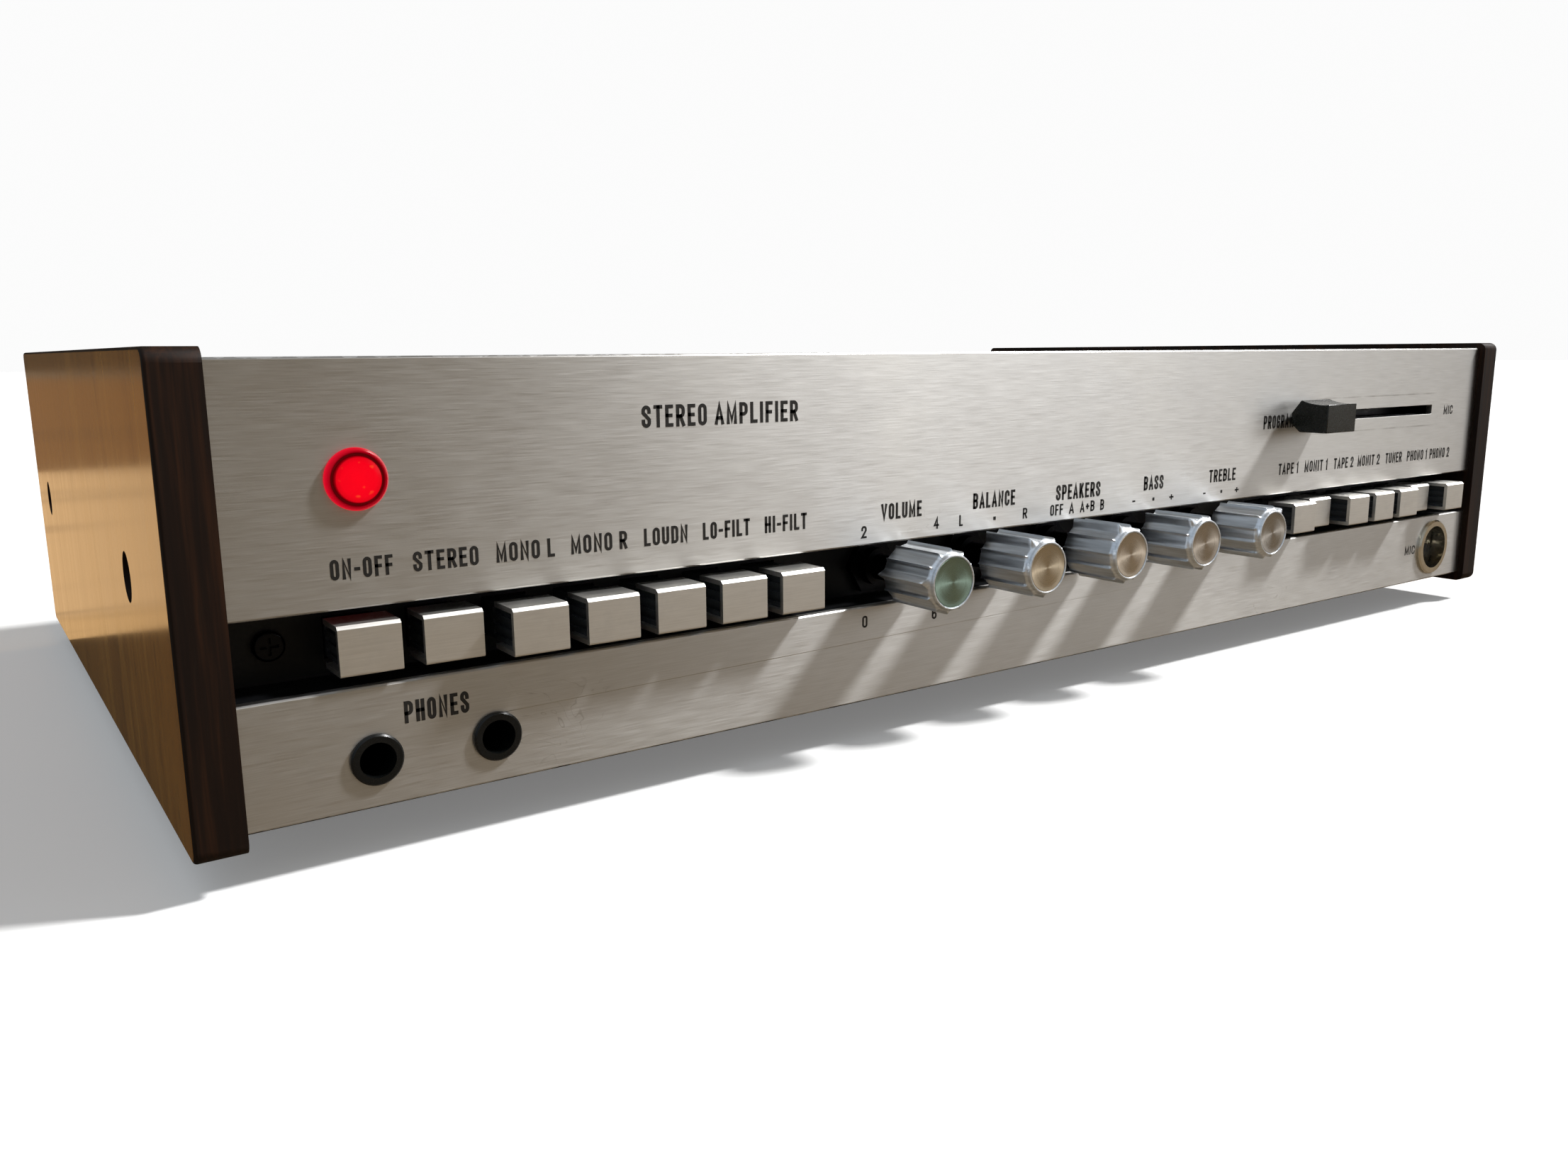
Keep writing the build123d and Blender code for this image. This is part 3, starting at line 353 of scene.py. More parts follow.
def board_green():
    """Circuit board with solder resist over tracks, and small parts in dull colours."""
    g = Graph("board_green")
    tracks = g.calc("GREATER_THAN", g.cells((220, 220, 1), "DISTANCE_TO_EDGE"), 0.16)
    tone = g.mix(tracks, (0.30, 0.20, 0.05), (0.035, 0.10, 0.03))
    parts = g.calc("GREATER_THAN", g.axis("Z"), BOARD_TOP)
    hue = g.ramp(g.noise((38, 38, 1), 1.0), (
        (0.35, (0.02, 0.04, 0.10)), (0.5, (0.25, 0.12, 0.03)), (0.65, (0.40, 0.34, 0.20)),
    ))
    tone = g.mix(parts, tone, hue)
    fine = g.noise((900, 900, 900))
    return g.finish(tone, g.range(fine, 0.3, 0.7, 0.3, 0.5), g.bump(tracks, 0.3, 0.00008))


def transformer_iron():
    """Laminated core: thin upright leaves, varnished, around a taped winding."""
    g = Graph("transformer_iron")
    leaves = g.noise((3, 2400, 3), 1.0)
    tone = g.ramp(leaves, ((0.35, (0.05, 0.045, 0.04)), (0.65, (0.16, 0.14, 0.12))))
    rust = g.range(g.noise((90, 90, 90), 4.0, 0.7), 0.55, 0.75)
    tone = g.mix(g.calc("MULTIPLY", rust, 0.5), tone, (0.16, 0.06, 0.02))
    return g.finish(tone, g.range(leaves, 0.3, 0.7, 0.35, 0.6), g.bump(leaves, 0.5, 0.0002), metallic=0.6)


def channel_paint():
    """Matt black paint of the recess, with bluish specks that are partly dust and partly painted glints of
    the paint catching light, and the lamp's light leaking onto its roof as a painted red glow.
    """
    g = Graph("channel_black")
    fine = g.noise((1400, 1400, 1400), 3.0)
    dust = g.range(g.noise((260, 260, 260), 4.0, 0.7), 0.58, 0.8)
    # Bluish specks: partly dust, partly painted glints where the paint catches the light.
    tone = g.mix(g.calc("MULTIPLY", dust, 0.10), (0.0022, 0.0025, 0.0032), (0.05, 0.06, 0.075))
    lamp = centre("lamp_lens")
    aside = g.calc("ABSOLUTE", g.calc("SUBTRACT", g.axis("X"), lamp.x - 2 * MM))
    leak = g.range(aside, 2 * MM, 16 * MM, 1.0, 0.0)
    leak = g.calc("MULTIPLY", leak, g.calc("GREATER_THAN", g.axis("Z"), CHANNEL_ROOF - 0.3 * MM))
    g.join(g.mix(leak, (0, 0, 0), (0.02, 0.0, 0.0)), g.shader.inputs["Emission Color"])
    g.shader.inputs["Emission Strength"].default_value = 1.0
    rough = g.range(fine, 0.3, 0.7, 0.38, 0.52)
    return g.finish(tone, rough, g.bump(fine, 0.1, 0.0001), specular_ior_level=0.25)


# The knob metal's blue cast is partly painted reflection of cool light, over the aluminium's own pale grey.
KNOB_METAL = metal("knob_aluminium", (0.80, 0.85, 0.91), 0.36, (1500, 90, 1500), 0.03, dirty=0.10,
                   # painted shade: the shaft behind the barrel is painted black
                   painted_recess_shade=(FRONT - 1.75 * MM, 1.0))
FINISHES = {
    "cheek_wood": cheek_wood(),
    "fascia_aluminium": brushed_fascia(),
    "channel_black": channel_paint(),
    "chassis_steel": metal("chassis_steel", (0.50, 0.49, 0.45), 0.34, (300, 300, 300), 0.10),
    "cover_black": wrinkled("cover_black", (0.020, 0.020, 0.021), 0.55),
    "rear_black": wrinkled("rear_black", (0.030, 0.030, 0.032), 0.50),
    "key_aluminium": metal("key_aluminium", (0.77, 0.755, 0.72), 0.40, (160, 160, 4200), 0.05,
                           dirty=0.12, contrast=0.3),
    # The plunger plastic is lighter and bluer than plain black: partly painted light, standing in for cool
    # light on the ribs.
    "key_plastic": painted("key_plastic", (0.030, 0.034, 0.038), 0.36, 1600.0, 0.08),
    "knob_aluminium": KNOB_METAL,
    "slider_plastic": painted("slider_plastic", (0.006, 0.0075, 0.006), 0.24, 1800.0, 0.03,
                              gloss=0.45),
    "lens_red": lit_lens(),
    "socket_plastic": painted("socket_plastic", (0.0035, 0.004, 0.004), 0.30, 1500.0, 0.05,
                              gloss=0.3),
    "nickel": metal("nickel", (0.74, 0.69, 0.58), 0.16, (900, 900, 900), 0.03,
                    dirty=0.2, contrast=0.4),
    "screw_steel": metal("screw_steel", (0.42, 0.40, 0.37), 0.30, (1800, 1800, 1800), 0.12,
                         # painted shade on the screws deep in the recess
                         dirty=0.35, painted_recess_shade=(FRONT + 9 * MM, FRONT + 13 * MM)),
    "foot_rubber": painted("foot_rubber", (0.013, 0.013, 0.013), 0.72, 700.0, 0.35, gloss=0.25),
    "switch_plastic": painted("switch_plastic", (0.55, 0.50, 0.38), 0.40, 900.0, 0.12),
    "control_metal": metal("control_metal", (0.55, 0.53, 0.50), 0.32, (500, 500, 500),
                           # painted shade on the controls in the recess
                           painted_recess_shade=(FRONT, FRONT + 13 * MM)),
    "transformer_iron": transformer_iron(),
    "board_green": board_green(),
    "sink_black": painted("sink_black", (0.016, 0.016, 0.017), 0.5, 600.0, 0.15),
    "can_aluminium": metal("can_aluminium", (0.62, 0.62, 0.62), 0.28, (70, 70, 2500)),
    "fuse_plastic": painted("fuse_plastic", (0.012, 0.012, 0.012), 0.3, 1100.0, 0.06),
    "gland_plastic": painted("gland_plastic", (0.011, 0.011, 0.012), 0.38, 900.0, 0.10),
}
for node in NODES.values():
    for holder in node.material_slots:
        slot_name = holder.material.name.split(".")[0]
        if slot_name in FINISHES:
            holder.material = FINISHES[slot_name]


# ---- mesh helpers --------------------------------------------------------------------------------
def piece(name, mesh, material, body):
    """A finished mesh as a named piece that rides on a body."""
    made = bpy.data.objects.new(name, mesh)
    bpy.context.scene.collection.objects.link(made)
    made.data.materials.clear()
    made.data.materials.append(material)
    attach(made, body)
    return made


def smooth_mesh(name, points, faces):
    """A closed mesh with merged points, outward faces and smooth shading except at sharp edges."""
    mesh = bpy.data.meshes.new(name)
    mesh.from_pydata(points, [], faces)
    shape = bmesh.new()
    shape.from_mesh(mesh)
    bmesh.ops.remove_doubles(shape, verts=shape.verts, dist=1e-7)
    bmesh.ops.recalc_face_normals(shape, faces=shape.faces)
    shape.to_mesh(mesh)
    shape.free()
    for face in mesh.polygons:
        face.use_smooth = True
    mesh.set_sharp_from_angle(angle=math.radians(32))
    return mesh


def lathe(name, profile, middle, material, body, steps=96):
    """Closed outline of (radius, y) points turned round the Y axis through middle."""
    points = []
    for i in range(steps):
        turn = 2 * math.pi * i / steps
        for radius, y in profile:
            points.append((middle.x + radius * math.cos(turn), y, middle.z + radius * math.sin(turn)))
    count = len(profile)
    faces = []
    for i in range(steps):
        j = (i + 1) % steps
        for k in range(count):
            m = (k + 1) % count
            faces.append((i * count + k, i * count + m, j * count + m, j * count + k))
    return piece(name, smooth_mesh(name, points, faces), material, body)


def bevel_edges(target, width, degrees):
    """Round off every edge sharper than an angle; returns the modifier."""
    bevel = target.modifiers.new("bevel", "BEVEL")
    bevel.width = width
    bevel.segments = 2
    bevel.limit_method = "ANGLE"
    bevel.angle_limit = math.radians(degrees)
    return bevel


# ---- printed lettering: a plain condensed gothic drawn as strokes ---------------------------------
PRINT_DEPTH = 0.04 * MM
BOWL = 0.19


def arc(x, y, across, up, start, end, steps=8):
    """Points along part of an ellipse, in degrees."""
    turns = [math.radians(start + (end - start) * i / steps) for i in range(steps + 1)]
    return [(x + across * math.cos(t), y + up * math.sin(t)) for t in turns]


def bowl(level, start, end):
    """Part of a letter's round end, turned about a centre at this level."""
    return arc(0.5, level, 0.5, BOWL, start, end)


def lobe(low, high, left=0.45):
    """The closed right side of P, R, B and D, between two levels."""
    right = arc(left, high - BOWL, 1 - left, BOWL, 90, 0) + arc(left, low + BOWL, 1 - left, BOWL, 0, -90)
    return [(0, high), (left, high), *right, (0, low)]


ROUND = bowl(1 - BOWL, 0, 180) + bowl(BOWL, 180, 360) + [(1, 1 - BOWL)]
OPEN_ROUND = [(1, 0.74), *bowl(1 - BOWL, 0, 180), *bowl(BOWL, 180, 360)]
GLYPHS = {
    " ": (0.45, []),
    "-": (0.45, [[(0, 0.45), (1, 0.45)]]),
    "+": (0.8, [[(0, 0.5), (1, 0.5)], [(0.5, 0.27), (0.5, 0.73)]]),
    ".": (0.05, [[(0.5, 0.49), (0.5, 0.51)]]),
    "0": (1.0, [ROUND]),
    "1": (0.3, [[(0, 0.86), (1, 1), (1, 0)]]),
    "2": (1.0, [[(0, 0.72), *bowl(1 - BOWL, 180, 0), (1, 0.64), (0, 0), (1, 0)]]),
    "4": (1.0, [[(0.72, 0), (0.72, 1), (0, 0.28), (1, 0.28)]]),
    "6": (1.0, [[(1, 0.76), *bowl(1 - BOWL, 0, 180), *bowl(BOWL, 180, 360), *bowl(0.56 - BOWL, 0, 180)]]),
    "A": (1.15, [[(0, 0), (0.5, 1), (1, 0)], [(0.22, 0.27), (0.78, 0.27)]]),
    "B": (1.0, [[(0, 0), (0, 1)], lobe(0.52, 1), lobe(0, 0.52)]),
    "C": (1.0, [OPEN_ROUND + [(1, 0.26)]]),
    "D": (1.0, [lobe(0, 1) + [(0, 1)]]),
    "E": (0.82, [[(1, 1), (0, 1), (0, 0), (1, 0)], [(0, 0.52), (0.85, 0.52)]]),
    "F": (0.82, [[(1, 1), (0, 1), (0, 0)], [(0, 0.50), (0.85, 0.50)]]),
    "G": (1.0, [OPEN_ROUND + [(1, 0.46), (0.55, 0.46)]]),
    "H": (1.0, [[(0, 0), (0, 1)], [(1, 0), (1, 1)], [(0, 0.51), (1, 0.51)]]),
    "I": (0.0, [[(0, 0), (0, 1)]]),
    "K": (1.0, [[(0, 0), (0, 1)], [(0.9, 1), (0, 0.36)], [(0.32, 0.59), (1, 0)]]),
    "L": (0.82, [[(0, 1), (0, 0), (1, 0)]]),
    "M": (1.35, [[(0, 0), (0, 1), (0.5, 0.12), (1, 1), (1, 0)]]),
    "N": (1.05, [[(0, 0), (0, 1), (1, 0), (1, 1)]]),
    "O": (1.0, [ROUND]),
    "P": (1.0, [[(0, 0), *lobe(0.44, 1)]]),
    "R": (1.0, [[(0, 0), *lobe(0.46, 1)], [(0.5, 0.46), (1, 0)]]),
    "S": (1.0, [[
        (1, 0.75), *bowl(1 - BOWL, 0, 180), (0, 0.70), (1, 0.33), *bowl(BOWL, 0, -180), (0, 0.25),
    ]]),
    "T": (0.95, [[(0, 1), (1, 1)], [(0.5, 1), (0.5, 0)]]),
    "U": (1.0, [[(0, 1), *bowl(BOWL, 180, 360), (1, 1)]]),
    "V": (1.15, [[(0, 1), (0.5, 0), (1, 1)]]),
}
LETTER_GAP = 0.52
STROKE_WEIGHT = 0.165          # stroke width as a share of the cap height
DOT_WEIGHT = 0.3
SHARPEST_MITRE = 0.45          # limits how far a sharp corner reaches out


def stroke_solid(path, half, points, faces):
    """A flat bar of even width along a path, added as one closed solid."""
    closed = (Vector(path[0]) - Vector(path[-1])).length < 1e-9
    spots = [Vector(p) for p in path]
    spots = [p for i, p in enumerate(spots) if i == 0 or (p - spots[i - 1]).length > 1e-9]
    if closed:
        spots = spots[:-1]
    else:
        spots[0] = spots[0] + (spots[0] - spots[1]).normalized() * half
        spots[-1] = spots[-1] + (spots[-1] - spots[-2]).normalized() * half
    count = len(spots)
    start = len(points)
    for i, spot in enumerate(spots):
        before = spots[i - 1] if i or closed else spot
        after = spots[(i + 1) % count] if i < count - 1 or closed else spot
        way_in = (spot - before).normalized() if before != spot else (after - spot).normalized()
        way_out = (after - spot).normalized() if after != spot else way_in
        side_in, side_out = Vector((-way_in.y, way_in.x)), Vector((-way_out.y, way_out.x))
        mitre = (side_in + side_out).normalized()
        reach = half / max(SHARPEST_MITRE, mitre.dot(side_in))
        for sign in (1, -1):
            edge = spot + mitre * reach * sign
            points += [(edge.x, 0.0, edge.y), (edge.x, -PRINT_DEPTH, edge.y)]
    for i in range(count if closed else count - 1):
        a, b = start + 4 * i, start + 4 * ((i + 1) % count)
        faces += [
            (a + 1, b + 1, b + 3, a + 3), (a, a + 2, b + 2, b),
            (a, b, b + 1, a + 1), (a + 2, a + 3, b + 3, b + 2),
        ]
    if not closed:
        z = start + 4 * (count - 1)
        faces += [(start, start + 1, start + 3, start + 2), (z, z + 2, z + 3, z + 1)]


def word_solids(text, x, z, width, height, points, faces):
    """One word fitted to its width and cap height, centred on x and z, in metres."""
    thick = (DOT_WEIGHT if text == "." else STROKE_WEIGHT) * height
    inked = [c for c in text if c != " "]
    gaps = LETTER_GAP * (len(text) - 1)
    scale = (width - thick * len(inked)) / (sum(GLYPHS[c][0] for c in text) + gaps)
    if len(text) == 1:
        scale = width - thick
    left = x - width / 2
    foot = z - height / 2 + thick / 2
    rise = height - thick
    for c in text:
        wide, paths = GLYPHS[c]
        for path in paths:
            spots = [(left + thick / 2 + px * wide * scale, foot + pz * rise) for px, pz in path]
            stroke_solid(spots, thick / 2, points, faces)
        left += wide * scale + (thick if c != " " else 0.0) + LETTER_GAP * scale


def printed(name, words, face_y, material, body):
    """One piece holding several words, laid on a face that looks along -Y."""
    points, faces = [], []
    for text, x, z, width, height in words:
        word_solids(text, x * MM, z * MM, width * MM, height * MM, points, faces)
    mesh = bpy.data.meshes.new(name)
    mesh.from_pydata([(px, face_y + py, pz) for px, py, pz in points], [], faces)
    shape = bmesh.new()
    shape.from_mesh(mesh)
    bmesh.ops.recalc_face_normals(shape, faces=shape.faces)
    shape.to_mesh(mesh)
    shape.free()
    return piece(name, mesh, material, body)


INK = painted("print_ink", (0.014, 0.013, 0.012), 0.45, 2500.0, 0.05)
EDGE = LEFT / MM
SILL = BASE / MM
LEFT_LABEL_LEVEL, LEFT_LABEL_HEIGHT = 43.6, 3.55
RIGHT_LABEL_LEVEL, RIGHT_LABEL_HEIGHT = 44.0, 3.4
LEFT_LABELS = (
    # text, middle from the left cheek, width, in millimetres
    ("ON-OFF", 22.4, 10.7), ("STEREO", 37.3, 12.0), ("MONO L", 52.5, 11.6), ("MONO R", 67.7, 12.0),
    ("LOUDN", 82.5, 10.0), ("LO-FILT", 96.9, 11.5), ("HI-FILT", 112.0, 11.0),
)
RIGHT_LABELS = (
    ("TAPE 1", 298.2, 10.3), ("MONIT 1", 313.0, 12.4), ("TAPE 2", 328.4, 11.1), ("MONIT 2", 343.1, 13.0),
    ("TUNER", 358.3, 10.1), ("PHONO 1", 373.2, 12.9), ("PHONO 2", 388.1, 13.1),
)
FRONT_WORDS = [(text, x, LEFT_LABEL_LEVEL, width, LEFT_LABEL_HEIGHT) for text, x, width in LEFT_LABELS]
FRONT_WORDS += [(text, x, RIGHT_LABEL_LEVEL, width, RIGHT_LABEL_HEIGHT) for text, x, width in RIGHT_LABELS]
FRONT_WORDS += [
    # text, middle from the left cheek, level above the bottom of the front, width, cap height
    ("VOLUME", 144.6, 43.7, 12.2, 3.7), ("2", 133.5, 39.6, 1.5, 2.8), ("4", 155.4, 39.8, 1.6, 2.8),
    ("0", 133.9, 18.9, 1.5, 2.8), ("6", 155.2, 18.1, 1.5, 2.8),
    ("BALANCE", 174.3, 44.0, 14.2, 3.8), ("L", 163.4, 39.7, 1.3, 2.7), ("R", 185.1, 39.7, 1.5, 2.7),
    ("SPEAKERS", 204.6, 43.9, 16.8, 3.9),
    ("OFF", 196.6, 39.6, 4.7, 2.8), ("A", 202.1, 39.6, 1.6, 2.8),
    ("A+B", 208.2, 39.6, 5.5, 2.8), ("B", 214.0, 39.6, 1.4, 2.8),
    (".", 174.5, 39.3, 0.8, 2.7), ("-", 227.2, 39.6, 1.9, 2.7),
    (".", 235.0, 39.5, 0.8, 2.7), ("+", 242.9, 39.5, 2.1, 2.7),
    ("-", 257.9, 39.5, 1.9, 2.7), (".", 265.4, 39.4, 0.8, 2.7), ("+", 272.9, 39.4, 2.1, 2.7),
    ("BASS", 234.8, 44.0, 8.2, 3.8), ("TREBLE", 265.5, 44.1, 12.4, 3.6),
    ("STEREO AMPLIFIER", 96.5, 67.3, 37.5, 4.35),
    ("PROGRAM", 291.5, 58.3, 15.2, 3.9), ("MIC", 391.2, 58.6, 5.9, 3.0),
    ("PHONES", 33.9, 16.6, 12.0, 4.1), ("MIC", 374.3, 11.4, 6.4, 3.0),
]
FRONT_WORDS = [(text, x + EDGE, z + SILL, width, height) for text, x, z, width, height in FRONT_WORDS]
printed("front_lettering", FRONT_WORDS, FRONT, INK, "cabinet")

# ---- fluted knobs with spun discs in their faces ----------------------------------------------------
RIBS = 12
FLUTE_STEPS = 20
CORE = 6.65                    # barrel radius between the ribs, in millimetres
RIB_RISE = 0.85
POINTER_RISE = 2.05
POINTER_HALF_ANGLE = math.radians(11)
SHAFT_RADIUS = 3.0
KNOB_STATIONS = (
    # depth behind the front, core radius, share of the rib height
    (0.50, 5.62, 0.0), (0.16, 5.66, 0.0), (0.03, 5.76, 0.0), (0.00, 5.90, 0.0), (0.04, 6.06, 0.0),
    (0.22, 6.18, 0.0), (0.60, 6.22, 0.0), (0.95, 6.32, 0.0), (1.15, 6.46, 0.10), (1.30, 6.56, 0.45),
    (1.50, CORE, 0.78), (1.85, CORE, 0.95), (2.40, CORE, 1.0), (5.0, CORE, 1.0), (9.0, CORE, 1.0),
    (13.0, CORE, 1.0), (15.9, CORE, 1.0), (16.15, CORE - 0.1, 0.85), (16.2, CORE - 0.3, 0.7),
    (16.2, SHAFT_RADIUS, 0.0),
)


def pointer_angle(knob, axis):
    """Clockwise angle of the tall rib from the top, seen from the front, read off the CAD knob."""
    arms = [v.co - axis for v in NODES[f"knob_{knob}"].data.vertices if v.co.y < FRONT - 3 * MM]
    tips = [arm for arm in arms if math.hypot(arm.x, arm.z) > 9 * MM]
    return math.atan2(sum(t.x for t in tips), sum(t.z for t in tips))


def rib_rise(turn):
    """Height of the fluting at an angle from the pointer, in millimetres."""
    pitch = 2 * math.pi / RIBS
    valley = abs((turn % pitch) / pitch - 0.5) * 2
    rise = RIB_RISE * min(0.94, 0.16 * valley ** 2 + 0.84 * valley ** 9)
    off = min(turn % (2 * math.pi), -turn % (2 * math.pi)) / POINTER_HALF_ANGLE
    return max(rise, POINTER_RISE * min(0.97, max(0.0, 1.04 - off) ** 1.35))


def knob_mesh(knob, axis, front, tail):
    """Fluted barrel, rib ends, turned rim and the shaft behind, as one closed mesh."""
    pointer = pointer_angle(knob, axis)
    count = RIBS * FLUTE_STEPS
    stations = [(front + depth * MM, core, share) for depth, core, share in KNOB_STATIONS]
    stations.append((tail, SHAFT_RADIUS, 0.0))
    points = []
    for y, core, share in stations:
        for i in range(count):
            turn = 2 * math.pi * i / count
            radius = (core + share * rib_rise(turn)) * MM
            heading = turn + pointer
            points.append((axis.x + radius * math.sin(heading), y, axis.z + radius * math.cos(heading)))
    faces = []
    for start in range(0, (len(stations) - 1) * count, count):
        for i in range(count):
            j = (i + 1) % count
            faces.append((start + i, start + j, start + count + j, start + count + i))
    faces.append(tuple(range(count)))
    faces.append(tuple(reversed(range((len(stations) - 1) * count, len(stations) * count))))
    return smooth_mesh(f"knob_{knob}_barrel", points, faces)


def disc_finish(knob, axis, tint):
    """Lathe-spun metal: fine rings round the axis and a tint given for each knob."""
    g = Graph(f"spun_disc_{knob}")
    rings = g.make("ShaderNodeTexNoise", noise_dimensions="1D")
    g.join(g.calc("MULTIPLY", from_axis(g, axis), 9000.0), rings.inputs["W"])
    rings.inputs["Scale"].default_value = 1.0
    marks = rings.outputs["Fac"]
    tone = g.ramp(marks, ((0.3, [c * 0.9 for c in tint]), (0.7, [min(1, c * 1.08) for c in tint])))
    haze = g.range(g.noise((300, 300, 300), 4.0, 0.6), 0.5, 0.8, 0.0, 0.3)
    tone = g.mix(haze, tone, [c * 0.6 for c in tint])
    g.tangent("Y")
    rough = g.range(marks, 0.3, 0.7, 0.26, 0.36)
    return g.finish(tone, rough, g.bump(marks, 0.15, 0.00004), metallic=1.0, anisotropic=0.85)


DISC_TINTS = {
    "volume": (0.27, 0.37, 0.31), "balance": (0.58, 0.49, 0.36), "speakers": (0.60, 0.52, 0.42),
    "bass": (0.52, 0.46, 0.39), "treble": (0.44, 0.41, 0.37),
}
DISC_OUTLINE = (
    # radius, depth behind the knob's front
    (0.0, 0.50), (5.50, 0.50), (5.60, 0.44), (5.60, 0.24), (5.50, 0.17), (5.3, 0.18),
    (5.1, 0.22), (4.0, 0.25), (2.0, 0.28), (0.35, 0.30), (0.0, 0.30),
)
for place, knob in enumerate(KNOBS):
    low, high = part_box(f"knob_{knob}")
    axis = Vector((KNOB_PITCH * (place - 2), 0, CONTROL_LEVEL))
    body = f"knob_{knob}"
    shape = knob_mesh(knob, axis, low.y, high.y)
    barrel = piece(f"knob_{knob}_barrel", shape, KNOB_METAL, body)
    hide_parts(body)
    outline = [(radius * MM, low.y + depth * MM) for radius, depth in DISC_OUTLINE]
    finish = disc_finish(knob, axis, DISC_TINTS[knob])
    lathe(f"knob_{knob}_disc", outline, axis, finish, body)

# ---- slide knob ---------------------------------------------------------------------------------------
slider_low, slider_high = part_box("slider_knob")
SLIDE_LEVEL = (slider_low.z + slider_high.z) / 2
SLIDER_FOOT_Y = FRONT - 0.4 * MM
SLIDER_SHOULDER_Y = FRONT - 3.3 * MM
SLIDER_DROP = 4.0 * MM         # underside below the slot's middle
SLIDER_FOOT_HALF = 1.5 * MM
SLIDER_RISE_BACK = 5.4 * MM    # top above the slot's middle, at the shoulder and at the front
SLIDER_RISE_FRONT = 4.3 * MM
SCOOP_DEPTH = 0.55 * MM
SCOOP_STEPS = 8
LEVER_HALF_WIDTH = 1.5 * MM
LEVER_HALF_HEIGHT = 0.8 * MM


def slider_mesh():
    """A block with a scooped, sloping top that narrows to a thin foot, and the steel lever in it."""
    outline = [
        (slider_low.y, SLIDE_LEVEL - SLIDER_DROP), (SLIDER_SHOULDER_Y, SLIDE_LEVEL - SLIDER_DROP),
        (SLIDER_FOOT_Y, SLIDE_LEVEL - SLIDER_FOOT_HALF), (SLIDER_FOOT_Y, SLIDE_LEVEL + SLIDER_FOOT_HALF),
    ]
    for i in range(SCOOP_STEPS + 1):
        share = i / SCOOP_STEPS
        dip = SCOOP_DEPTH * math.sin(math.pi * share) ** 0.6
        z = SLIDE_LEVEL + SLIDER_RISE_BACK + (SLIDER_RISE_FRONT - SLIDER_RISE_BACK) * share - dip
        outline.append((SLIDER_SHOULDER_Y + (slider_low.y - SLIDER_SHOULDER_Y) * share, z))
    points = [(x, y, z) for x in (slider_low.x, slider_high.x) for y, z in outline]
    count = len(outline)
    faces = [(i, (i + 1) % count, count + (i + 1) % count, count + i) for i in range(count)]
    faces += [tuple(range(count)), tuple(reversed(range(count, 2 * count)))]
    middle = (slider_low.x + slider_high.x) / 2
    start = len(points)
    for y in (FRONT - 2 * MM, FRONT + 8.5 * MM):
        for right, up in ((-1, -1), (1, -1), (1, 1), (-1, 1)):
            points.append((middle + right * LEVER_HALF_WIDTH, y, SLIDE_LEVEL + up * LEVER_HALF_HEIGHT))
    faces += [tuple(start + i for i in quad) for quad in (
        (0, 1, 2, 3), (7, 6, 5, 4), (0, 4, 5, 1), (1, 5, 6, 2), (2, 6, 7, 3), (3, 7, 4, 0),
    )]
    return smooth_mesh("slider_knob_moulded", points, faces)


slider = piece("slider_knob_moulded", slider_mesh(), FINISHES["slider_plastic"], "slider")
bevel_edges(slider, 0.22 * MM, 25)
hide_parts("slider_knob")

# ---- lamp lens --------------------------------------------------------------------------------------
LENS_OUTLINE = (
    # radius, height in front of the fascia: raised face, dark groove, rounded outer ring, neck
    (0.0, 1.88), (2.5, 1.86), (3.5, 1.80), (3.85, 1.68), (3.97, 1.45), (4.0, 1.0), (4.1, 0.80),
    (4.4, 0.80), (4.5, 1.0), (4.58, 1.28), (4.72, 1.38), (4.92, 1.30), (5.2, 0.90), (5.36, 0.45),
    (5.4, 0.0), (4.4, 0.0), (4.4, -5.0), (0.0, -5.0),
)
lens_outline = [(radius * MM, FRONT - height * MM) for radius, height in LENS_OUTLINE]
lens = lathe("lamp_lens_moulded", lens_outline, centre("lamp_lens"), FINISHES["lens_red"],
             "cabinet")
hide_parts("lamp_lens")

# ---- softened edges on the CAD pieces ----------------------------------------------------------------
# widths in millimetres
SOFT_EDGES = {"left_cheek": 0.9, "right_cheek": 0.9, "upper_fascia": 0.12, "lower_fascia": 0.12}
SOFT_EDGES.update({name: 0.13 for name in NODES if name.startswith("key_") and name.endswith("_cap")})
for name, width in SOFT_EDGES.items():
    weld = NODES[name].modifiers.new("weld", "WELD")
    weld.merge_threshold = 1e-6
    bevel_edges(NODES[name], width * MM, 40).harden_normals = True

# ---- floor, light and camera ----------------------------------------------------------------------------
FLOOR_REACH = 9.0
FLOOR_IN_REFLECTIONS = (0.20, 0.155, 0.105)
FLOOR_LIFT = (0.17, 0.17, 0.17)
CARD_LEFT = -1.6
CARD_RIGHT = LEFT - 9.5 * MM
CARD_LEVEL = 1 * MM
CARD_SPLIT = 0.79              # where the bright card ends and the dim one begins, along Y


def flat_stage(name, x0, x1, y0, y1, z):
    """A level rectangle that belongs to the stage, with its mesh."""
    mesh = bpy.data.meshes.new(name)
    mesh.from_pydata([(x0, y0, z), (x1, y0, z), (x1, y1, z), (x0, y1, z)], [], [(0, 1, 2, 3)])
    made = bpy.data.objects.new(name, mesh)
    bpy.context.scene.collection.objects.link(made)
    return made


